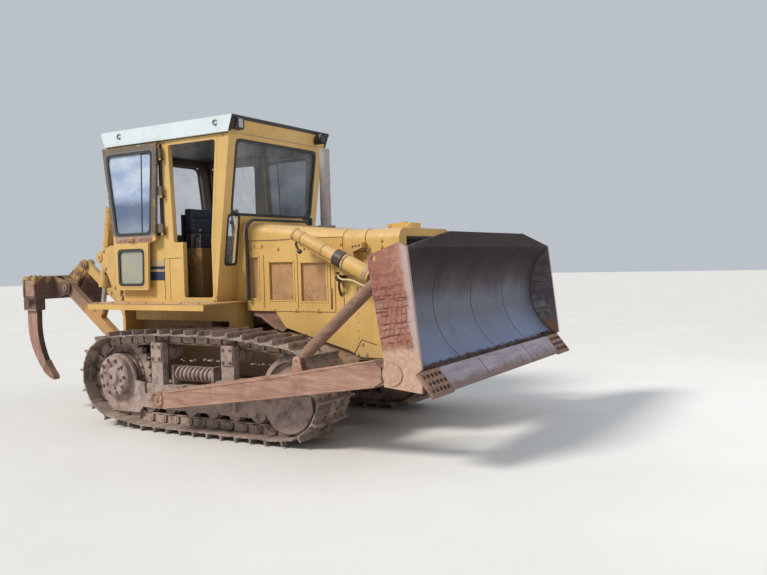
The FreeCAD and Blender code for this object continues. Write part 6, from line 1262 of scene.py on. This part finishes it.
def add_hood_details():
    seams, trim, rust_line, plates, bolts = forms(5)
    trim.tube(arch_line(26, 532, 2052, 1250, 132, 2), 17, 12)
    seams.tube(arch_line(1395, HULL_SIDE_Y, NOSE_TOP_Z, 1702, HOOD_CORNER, 0.5), 3.5, 6)
    seams.tube(arch_line(1148, HULL_SIDE_Y, NOSE_TOP_Z, 1150, HOOD_CORNER, 0.5), 3.0, 6)
    plates.tube(arch_line(1162, HULL_SIDE_Y, NOSE_TOP_Z, 1720, HOOD_CORNER, -6), 9, 8)
    for sign in (1, -1):
        y = sign * HULL_SIDE_Y
        face = sorted((y - sign, y + sign * 2))
        proud = sorted((y - sign, y + sign * 7))
        out = (0, sign, 0)
        rust_line.tube([(46, y, 1840), (180, y + sign, 1841), (330, y + sign, 1838), (515, y, 1839)], 4.5, 6)
        for line, radius, sides in HOOD_SEAMS:
            seams.tube([(x, y, z) for x, z in line], radius, sides)
        plates.box((4, 1050), proud, (1146, 1168))
        plates.box((1040, 1052), proud, (1168, 1700))
        for x0, x1, z0, z1 in VENTS:
            plates.band([(x0 - 16, z0 - 16), (x1 + 16, z0 - 16), (x1 + 16, z1 + 16), (x0 - 16, z1 + 16)],
                        [(x0, z0), (x1, z0), (x1, z1), (x0, z1)], *sorted((y - sign, y + sign * 4)))
            for x, z in ((x0 - 8, z1 + 8), (x1 + 8, z1 + 8)):
                bolts.bolt((x, y + sign * 3, z), out, 10, 4)
        for x in (193, 607, 990):
            plates.box((x - 12, x + 12), proud, (1168, 1700))
        for x in (326, 596, 857):
            plates.rod((x - 26, y + sign * 8, 1150), (x + 26, y + sign * 8, 1150), 7, 10)
            bolts.bolt((x, y + sign * 6, 1160), out, 20, 12)
        plates.prism(plate((60.0, 214.0), (1762.0, 1812.0), 20), *face)
        for x, z in ((388, 1751), (43, 1761), (90, 1786), (184, 1786), (1338, 854), (1281, 757), (1381, 761),
                     (1436, 1726), (1567, 1793), (1566, 1738), (700, 1751), (1010, 1751)):
            bolts.bolt((x, y, z), out, 24, 12)
        for z in (1137, 1058, 980, 913, 847):
            bolts.turned([(-1, 11), (3, 10), (6, 5)], (1296, y, z), out, 12)
        for x, z in ((1150, 1500), (1390, 1510), (1180, 1770), (1330, 1540)):
            bolts.bolt((x, sign * 585, z), out, 26, 14)
    for x0, x1 in ((1404, 1430), (1610, 1636)):
        plates.box((x0, x1), (-101, 101), (1930, 1950))
    plates.rod((1520, 0, 1960), (1520, 0, 1976), 34, 24)
    trim.done("arch_trim", "rubber")
    seams.done("hood_seams", "seam")
    rust_line.done("hood_rust_line", "bolt")
    plates.done("hood_frames", "yellow")
    bolts.done("hood_bolts", "worn_yellow")


def add_exhaust():
    form, hollow = forms(2)
    x, y = STACK
    up = (0, 0, 1)
    for z in (1985, 2060):
        form.turned([(0, 60), (18, 60)], (x, y, z), up, 32)
    form.turned([(0, 57.5), (20, 58.5), (22, 56)], (x, y, 2766), up, 32)
    form.bolt((x, y - 62, 1994), (0, -1, 0), 18, 14)
    hollow.turned([(0, 50), (1.4, 49), (1.4, 44), (0.5, 40), (0.5, 4)], (x, y, 2789.5), up, 32)
    form.turned([(0, 104), (14, 104), (18, 84)], (x, y, 1976), up, 36)
    form.done("exhaust_clamps", "stack")
    hollow.done("exhaust_mouth", "dark")


# Blade and push arms

FACE_FOOT, FACE_MIDDLE, FACE_HEAD = (2478.0, 792.0), (2196.0, 1240.0), (2404.0, 1712.0)
EDGE_TIP = (2605.0, 630.0)
BLADE_HALF = 1542.0
END_PLATE = 25.0
ARM_FACE = 1376.0
ARM_PIVOT = (-400.0, 370.0)
BRACE_LOW, BRACE_HIGH = (1225.0, 800.0), (2105.0, 1539.0)
BRACE_Y = 1308.0
FRONT_PIN = (2262.0, 770.0)


def circle_through(a, b, c):
    """Centre and radius of the circle through three (x, z) points."""
    d = 2 * (a[0] * (b[1] - c[1]) + b[0] * (c[1] - a[1]) + c[0] * (a[1] - b[1]))
    aa, bb, cc = (p[0] ** 2 + p[1] ** 2 for p in (a, b, c))
    x = (aa * (b[1] - c[1]) + bb * (c[1] - a[1]) + cc * (a[1] - b[1])) / d
    z = (aa * (c[0] - b[0]) + bb * (a[0] - c[0]) + cc * (b[0] - a[0])) / d
    return (x, z), math.hypot(a[0] - x, a[1] - z)


def face_x(z):
    centre, radius = circle_through(FACE_FOOT, FACE_MIDDLE, FACE_HEAD)
    return centre[0] - math.sqrt(radius ** 2 - (z - centre[1]) ** 2)


def face_line(y, low, top, proud=0.0):
    count = 26
    levels = [low + (top - low) * i / count for i in range(count + 1)]
    return [(face_x(z) + proud, y, z) for z in levels]


def add_blade_details():
    seams, welds, heads, dirt, joints, plugs = forms(6)
    for y in (-740, 0, 740):
        seams.tube(face_line(y, 800, 1706, -0.6), 3.6, 6)
    for sign in (1, -1):
        corner = sign * (BLADE_HALF - END_PLATE)
        welds.tube(face_line(corner - sign * 3, 800, 1706, 2), 8, 8)
    up = Vector((FACE_FOOT[0] - EDGE_TIP[0], 0, FACE_FOOT[1] - EDGE_TIP[1])).normalized()
    out = Vector((up.z, 0, -up.x))
    foot = Vector((FACE_FOOT[0], 0, FACE_FOOT[1]))

    def on_edge(down, y):
        return foot - up * down + Vector((0, y, 0))

    for sign in (1, -1):
        for down in (48, 108, 168):
            for i in range(5):
                y = sign * (BLADE_HALF - 36 - i * 62 - (18 if down == 108 else 0))
                heads.turned([(-2, 17), (7, 17), (11, 12)], on_edge(down, y), out, 4)
    for i in range(13):
        plugs.turned([(-2, 15), (0.8, 15), (1.2, 11), (0.4, 9)], on_edge(62, -1110 + 185 * i), out, 16)
    for y in (-500, 500):
        joints.tube([on_edge(8, y) - out * 0.5, on_edge(203, y + 10) - out * 0.5], 3.4, 6)
    for i in range(74):
        y = CHANCE.uniform(-BLADE_HALF + 50, BLADE_HALF - 50)
        size = CHANCE.uniform(7, 17)
        place = (FACE_FOOT[0] - 6 + CHANCE.uniform(-9, 5), y, FACE_FOOT[1] + 12 + CHANCE.uniform(-6, 9))
        dirt.clod(place, size)
    for i in range(16):
        y = 1180 + CHANCE.uniform(0, 300)
        dirt.clod((FACE_FOOT[0] - 30 + CHANCE.uniform(-30, 12), y, FACE_FOOT[1] + 34), CHANCE.uniform(10, 26))
    seams.done("blade_seams", "seam", "blade")
    welds.done("blade_welds", "oily", "blade")
    heads.done("edge_bolts", "clay", "blade", smooth=20)
    joints.done("edge_joints", "seam", "blade")
    plugs.done("edge_plugs", "edge", "blade")
    dirt.done("blade_dirt", "clay", "blade", smooth=60)


def add_arm_details():
    welds, lines, rings, caps = forms(4)
    upper = [(-290, 440), (900, 634), (2000, 838)]
    lower = [(-290, 296), (900, 466), (2000, 636)]
    for sign in (1, -1):
        face = sign * ARM_FACE
        for path in (upper, lower):
            welds.tube([(x, face - sign * 2, z) for x, z in path], 8, 8)
        front = [(1936, 636), (2006, 638), (2066, 670), (2066, 790), (2006, 836), (1960, 828)]
        lines.tube([(x, face, z) for x, z in front], 4.5, 6)
        caps.turned([(-8, 78), (10, 78), (14, 72), (14, 52), (8, 48), (8, 26), (18, 22)],
                    (ARM_PIVOT[0], face, ARM_PIVOT[1]), (0, sign, 0), 36)
        caps.bolt_circle((ARM_PIVOT[0], face + sign * 12, ARM_PIVOT[1]), (0, sign, 0), 62, 6, 18, 10)
        rim = (FRONT_PIN[0], sign * (BLADE_HALF + 4.5), FRONT_PIN[1])
        lines.tube([(rim[0] + x, rim[1], rim[2] + z) for x, z in ring_points(83, 36)], 3.2, 6, closed=True)
        along = (Vector(BRACE_HIGH) - Vector(BRACE_LOW)).normalized()
        across = Vector((-along.y, along.x))
        for distance in (196, 852):
            base = Vector(BRACE_LOW) + along * distance + across * 62
            ring = [(base.x + along.x * a + across.x * b, sign * BRACE_Y, base.y + along.y * a + across.y * b)
                    for a, b in ring_points(19, 20)]
            rings.tube(ring, 6.5, 8, closed=True)
        for distance in (138, 1070):
            start = Vector(BRACE_LOW) + along * distance
            rings.turned(stepped(53, (0, -2), (3, 0), (22, 0), (25, -2)),
                         (start.x, sign * BRACE_Y, start.y), (along.x, 0, along.y), 28)
    welds.done("arm_welds", "rust", "blade")
    lines.done("arm_lines", "seam", "blade")
    rings.done("brace_rings", "dark_rust", "blade")
    caps.done("arm_pivot_caps", "rust", "blade")


# Lift cylinders

LIFT_TRUNNION, LIFT_EYE = (1220.0, 1640.0), (2050.0, 1235.0)
LIFT_Y = 660.0
LIFT_BARREL, LIFT_HEAD = 58.0, 75.0


def add_lift_details():
    bands, heads, fittings, pipes, oily = forms(5)
    along = (Vector(LIFT_EYE) - Vector(LIFT_TRUNNION)).normalized()
    axis = Vector((along.x, 0, along.y))
    across = Vector((along.y, 0, -along.x))
    for sign in (1, -1):
        at = Vector((LIFT_TRUNNION[0], sign * LIFT_Y, LIFT_TRUNNION[1]))
        bands.turned(stepped(LIFT_BARREL, (-3, -4), (0, 3), (20, 5), (24, 2), (24, -4)),
                     at - axis * 560, axis, 32, closed=True)
        for distance in (-470, -210):
            bands.turned(stepped(LIFT_BARREL, (0, -4), (0, 3), (2, 4), (24, 4), (26, 3), (26, -4)),
                         at + axis * distance, axis, 32, closed=True)
            fittings.bolt(at + axis * (distance + 13) + across * (LIFT_BARREL + 4), across, 16, 12)
        for i in range(6):
            angle = 0.5 + math.tau * i / 6
            out = Vector((0, math.cos(angle), 0)) + across * math.sin(angle)
            seat = at - axis * 532 + out * LIFT_BARREL
            fittings.turned([(-3, 7), (1.5, 7), (1.6, 3.5), (-1, 3)], seat, out, 12)
        heads.turned(stepped(LIFT_HEAD, (0, 0), (3, 6), (26, 6), (30, 0)), at + axis * 58, axis, 36)
        heads.turned(stepped(LIFT_HEAD, (0, 1), (4, 4), (44, 4), (48, 1)), at + axis * 300, axis, 36)
        heads.turned([(-4, 72), (4, 70), (6, 50), (4, 33)], at + axis * 368, axis, 32)
        fittings.bolt_circle(at + axis * 372, axis, 58, 8, 18, 12)
        oily.turned([(0, LIFT_BARREL + 2), (4, LIFT_HEAD + 2), (92, LIFT_HEAD + 2), (96, LIFT_BARREL + 2)],
                    at - axis * 46, axis, 32)
        y = sign * LIFT_Y
        elbow = Vector((762, y, 1722))
        oily.turned([(-8, 14), (0, 22), (26, 22), (34, 14)], elbow - axis * 6, axis, 12)
        oily.tube([at - axis * 505 + across * 50, at - axis * 505 + across * 84, elbow], 13, 10)
        pipes.tube([(1188, y, 1508), (1204, y, 1470), (1240, y, 1452), (1310, y, 1450), (1365, y, 1438),
                    (1412, y, 1418), (1462, y, 1398), (1505, y, 1392), (1532, y, 1412)], 9.5, 10)
        oily.turned([(0, 15), (20, 15), (24, 10)], (1186, y, 1500), (0.2, 0, 1), 8)
        oily.turned([(-4, 15), (16, 15), (20, 10)], (1526, y, 1398), (0.5, 0, 1), 8)
    bands.done("lift_bands", "worn_yellow", "lift_barrels")
    heads.done("lift_heads", "cream_rust", "lift_barrels")
    fittings.done("lift_fittings", "bolt", "lift_barrels")
    pipes.done("lift_pipes", "pale_yellow", "lift_barrels")
    oily.done("lift_oily_parts", "oily", "lift_barrels")
    block = Form()
    for sign in (1, -1):
        block.box((1105, 1178), span(sign, 500, 560), (1432, 1500))
        block.rod((1140, sign * 540, 1466), (1140, sign * 600, 1466), 22, 12)
        block.tube([(1140, sign * 560, 1440), (1138, sign * 566, 1395), (1120, sign * 530, 1350),
                    (1118, sign * 504, 1300)], 11, 10)
        for x, z in ((1125, 1482), (1160, 1450)):
            block.bolt((x, sign * 560, z), (0, sign, 0), 22, 12)
    block.done("lift_valves", "oily")


# Ripper

LOWER_PIVOT, LOWER_END = (-1800.0, 800.0), (-2600.0, 1390.0)
LOWER_FACE, UPPER_FACE, BRACKET_FACE = 670.0, 485.0, 700.0
UPPER_OFFSET = (90.0, 260.0)
BEAM_X, BEAM_Z, BEAM_HALF = (-3017.0, -2790.0), (1267.0, 1523.0), 912.0
SHANK_Y = -800.0
SHANK_PIN = (-2986.0, 1205.0)
RIP_TRUNNION, RIP_EYE = (-1950.0, 1720.0), (-2046.0, 1168.0)
RIP_Y, RIP_BARREL = 600.0, 58.0


def pin_cap(form, x, z, face, sign, radius):
    form.turned([(-3, radius), (8, radius), (12, radius - 5), (12, radius * 0.45), (8, radius * 0.4)],
                (x, sign * face, z), (0, sign, 0), 28)
    form.bolt((x, sign * (face + 8), z), (0, sign, 0), 20, 12)


def add_ripper_details():
    fixed, on_links, on_beam, on_upper = forms(4)
    rise_x, rise_z = UPPER_OFFSET
    for sign in (1, -1):
        for x, z in (LOWER_PIVOT, LOWER_END):
            pin_cap(on_links, x, z, LOWER_FACE, sign, 46)
            pin_cap(on_upper, x + rise_x, z + rise_z, UPPER_FACE, sign, 40)
        for x, z in ((-1881, 1792), (-1860, 1600), (-1720, 1391), (-1783, 1329)):
            fixed.bolt((x, sign * BRACKET_FACE, z), (0, sign, 0), 26, 14)
        pin_cap(fixed, *RIP_TRUNNION, BRACKET_FACE, sign, 44)
        rim = plate((BEAM_X[0] + 4, BEAM_X[1] - 4), (BEAM_Z[0] + 4, BEAM_Z[1] - 4), 46, 5)
        on_beam.band(rim, inset(rim, 26), *span(sign, BEAM_HALF - 2, BEAM_HALF + 12))
        for x in (BEAM_X[0] + 8, BEAM_X[1] - 8):
            on_beam.tube([(x, sign * 60, BEAM_Z[1]), (x, sign * (BEAM_HALF - 10), BEAM_Z[1])], 7, 8)
        for x in (-2985, -2900, -2820):
            on_beam.bolt((x, sign * 836, BEAM_Z[1]), (0, 0, 1), 30, 20)
    x, z = SHANK_PIN
    on_beam.rod((x, SHANK_Y - 72, z), (x, SHANK_Y + 72, z), 24, 20)
    on_beam.bolt((x, SHANK_Y - 70, z), (0, -1, 0), 26, 14)
    ends = Form()
    for sign in (1, -1):
        inner = plate((BEAM_X[0] + 34, BEAM_X[1] - 34), (BEAM_Z[0] + 34, BEAM_Z[1] - 34), 34, 5)
        ends.prism(inner, *span(sign, BEAM_HALF - 2, BEAM_HALF + 3))
    tip = Form()
    point = [(-2640, 350), (-2700, 366), (-2800, 424), (-2826, 452),
             (-2812, 500), (-2776, 560), (-2728, 492), (-2640, 392)]
    tip.prism(point, SHANK_Y - 40, SHANK_Y + 40)
    tip.rod((-2790, SHANK_Y - 46, 480), (-2790, SHANK_Y + 46, 480), 12, 14)
    lip = Form()
    lip.prism([(-3090, 1140), (-3070, 1136), (-2884, 1136), (-2872, 1144), (-2884, 1150), (-3070, 1150)],
              SHANK_Y - 66, SHANK_Y - 56)
    fixed.done("ripper_bracket_bolts", "worn_yellow")
    on_links.done("lower_link_caps", "dark_rust", "ripper_lower_links")
    on_upper.done("upper_link_caps", "dark_rust", "ripper_upper_links")
    on_beam.done("ripper_beam_rims", "beam", "ripper_beam")
    ends.done("ripper_beam_ends", "pale_rust", "ripper_beam")
    tip.done("shank_tip", "dark_rust", "ripper_beam", smooth=25)
    lip.done("pocket_lip", "pale_rust", "ripper_beam")


def add_ripper_cylinder_details():
    bands, hoses, pipes = forms(3)
    heading = (Vector(RIP_EYE) - Vector(RIP_TRUNNION)).normalized()
    axis = Vector((heading.x, 0, heading.y))
    for sign in (1, -1):
        at = Vector((RIP_TRUNNION[0], sign * RIP_Y, RIP_TRUNNION[1]))
        side = Vector((0, sign, 0))
        for distance in (-400, -160, 150):
            profile = stepped(RIP_BARREL, (0, 1), (1, 4), (25, 4), (26, 1))
            bands.turned(profile, at + axis * distance, axis, 32)
        bands.bolt_circle(at - axis * 553, -axis, 44, 6, 16, 9)
        bands.turned(stepped(RIP_BARREL, (0, 4), (2, 9), (30, 9), (32, 4)), at + axis * 296, axis, 32)
        rear = Vector((0.985, 0, -0.171))
        slant = side * 52 + rear * 52
        pipes.tube([at - axis * 300 + slant * 0.7, at - axis * 300 + slant * 0.96, at - axis * 292 + slant,
                    at - axis * 130 + slant], 9, 10)
        bends = ((-130, 0), (-90, 6), (-20, 52), (60, 66), (130, 34), (168, 4))
        hose = [at + axis * down + slant + rear * back for down, back in bends]
        hoses.tube(hose + [at + axis * 176 + slant * 0.7], 12, 12)
        pipes.turned([(0, 15), (22, 15), (26, 12)], at - axis * 140 + slant, axis, 6)
    bands.done("ripper_cylinder_bands", "worn_yellow", "ripper_barrels")
    hoses.done("ripper_hoses", "rubber", "ripper_barrels")
    pipes.done("ripper_pipes", "worn_yellow", "ripper_barrels")


# Hull

PLATFORM_X, PLATFORM_HALF, PLATFORM_TOP = (-1640.0, -20.3), 1128.0, 1247.0


def add_hull_details():
    edge, bolts, brown = forms(3)
    for sign in (1, -1):
        y = sign * PLATFORM_HALF
        ends = PLATFORM_X[0] + 6, PLATFORM_X[1] - 6
        edge.tube([(x, y - sign * 3, PLATFORM_TOP - 4) for x in ends], 6, 8)
        for i in range(7):
            bolts.bolt((-1560 + 240 * i, y - sign * 46, PLATFORM_TOP), (0, 0, 1), 24, 12)
        for x, z in ((-1180, 1030), (-940, 1030), (-700, 1030)):
            bolts.bolt((x, sign * 450, z), (0, sign, 0), 34, 18)
        brown.prism([(36, 1146), (330, 1146), (470, 985), (400, 940), (250, 1000), (120, 1080), (36, 1090)],
                    *span(sign, 462, 480))
        bends = (60, 482, 1104), (160, 486, 1080), (262, 486, 1010), (330, 480, 968)
        brown.tube([(x, sign * y, z) for x, y, z in bends], 12, 10)
    edge.done("platform_edges", "rust")
    bolts.done("hull_bolts", "worn_yellow")
    brown.done("hull_side_shields", "dark_rust")


# Seat

SEAT_X, SEAT_HALF, SEAT_Z = (-995.0, -640.0), 250.0, (1602.0, 1730.0)
BACKREST_X, BACKREST_TOP = (-1138.0, -1016.0), 2260.0


def swell(piece, reach):
    """Blows a block up into a cushion with a short cloth simulation, no point moving beyond reach."""
    remesh = piece.modifiers.new("remesh", "REMESH")
    remesh.mode = "VOXEL"
    remesh.voxel_size = 0.009
    bake_mesh(piece)
    still = [point.co.copy() for point in piece.data.vertices]
    cloth = piece.modifiers.new("cloth", "CLOTH")
    cloth.settings.use_pressure = True
    cloth.settings.uniform_pressure_force = 4.0
    cloth.settings.effector_weights.gravity = 0.0
    for step in range(1, 21):
        bpy.context.scene.frame_set(step)
    bake_mesh(piece)
    bpy.context.scene.frame_set(1)
    for point, start in zip(piece.data.vertices, still):
        move = point.co - start
        if move.length > reach:
            point.co = start + move.normalized() * reach


def bake_mesh(piece):
    """Applies every modifier of the piece to its mesh."""
    evaluated = piece.evaluated_get(bpy.context.evaluated_depsgraph_get())
    mesh = bpy.data.meshes.new_from_object(evaluated)
    piece.modifiers.clear()
    piece.data = mesh


def sew(piece, lines, depth, width):
    """Presses channels into a cushion; each line is (axis, place in metres)."""
    for point in piece.data.vertices:
        for axis, place in lines:
            share = math.exp(-((point.co[axis] - place) / width) ** 2)
            point.co -= point.normal * (depth * share)


def add_seat():
    welt = Form()
    margin = 16.0
    blocks = (
        ("seat_cushion", SEAT_X, SEAT_Z, [(1, -0.12), (1, 0.0), (1, 0.12)]),
        ("seat_backrest", BACKREST_X, (SEAT_Z[0] + 20, BACKREST_TOP), [(2, 1.80), (2, 1.96), (2, 2.12)]),
    )
    for name, x, z, channels in blocks:
        form = Form()
        sides = x, (-SEAT_HALF, SEAT_HALF), z
        form.box(*[(low + margin, high - margin) for low, high in sides])
        piece = form.done(name, "vinyl", hides=("seat_cushions",))
        swell(piece, 0.016)
        sew(piece, channels, 0.007, 0.010)
        smooth = piece.modifiers.new("smooth", "SUBSURF")
        smooth.levels = 1
        bake_mesh(piece)
        piece.data.shade_smooth()
    rear, front, half = SEAT_X[0] + 8, SEAT_X[1] - 8, SEAT_HALF - 8
    path = rounded([(rear, -half), (front, -half), (front, half), (rear, half)], 40, 5)
    for level in (SEAT_Z[0] + 34, SEAT_Z[1] - 30):
        welt.tube([(x, y, level) for x, y in path], 4, 8, closed=True)
    welt.done("seat_welts", "knob")


def add_floor():
    mesh = bpy.data.meshes.new("floor")
    reach = 60.0
    corners = [(-reach, -reach, 0), (reach, -reach, 0), (reach, reach, 0), (-reach, reach, 0)]
    mesh.from_pydata(corners, [], [(0, 1, 2, 3)])
    mesh.materials.append(floor_finish())
    floor = bpy.data.objects.new("floor", mesh)
    bpy.context.collection.objects.link(floor)


def dress_nodes():
    for look, names in DRESS.items():
        for name in names:
            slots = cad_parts[name].data.materials
            slots.clear()
            slots.append(LOOK[look])


add_camera()
add_studio()
add_floor()
dress_nodes()
add_tracks()
add_springs()
add_running_gear()
add_mud()
add_door("left", Matrix.Identity(4))
add_door("right", OPEN_DOOR)
add_cab_trim()
add_roof_details()
add_side_bands()
add_cab_floor_details()
add_interior()
add_hood_details()
add_exhaust()
add_blade_details()
add_arm_details()
add_lift_details()
add_ripper_details()
add_ripper_cylinder_details()
add_hull_details()
add_seat()
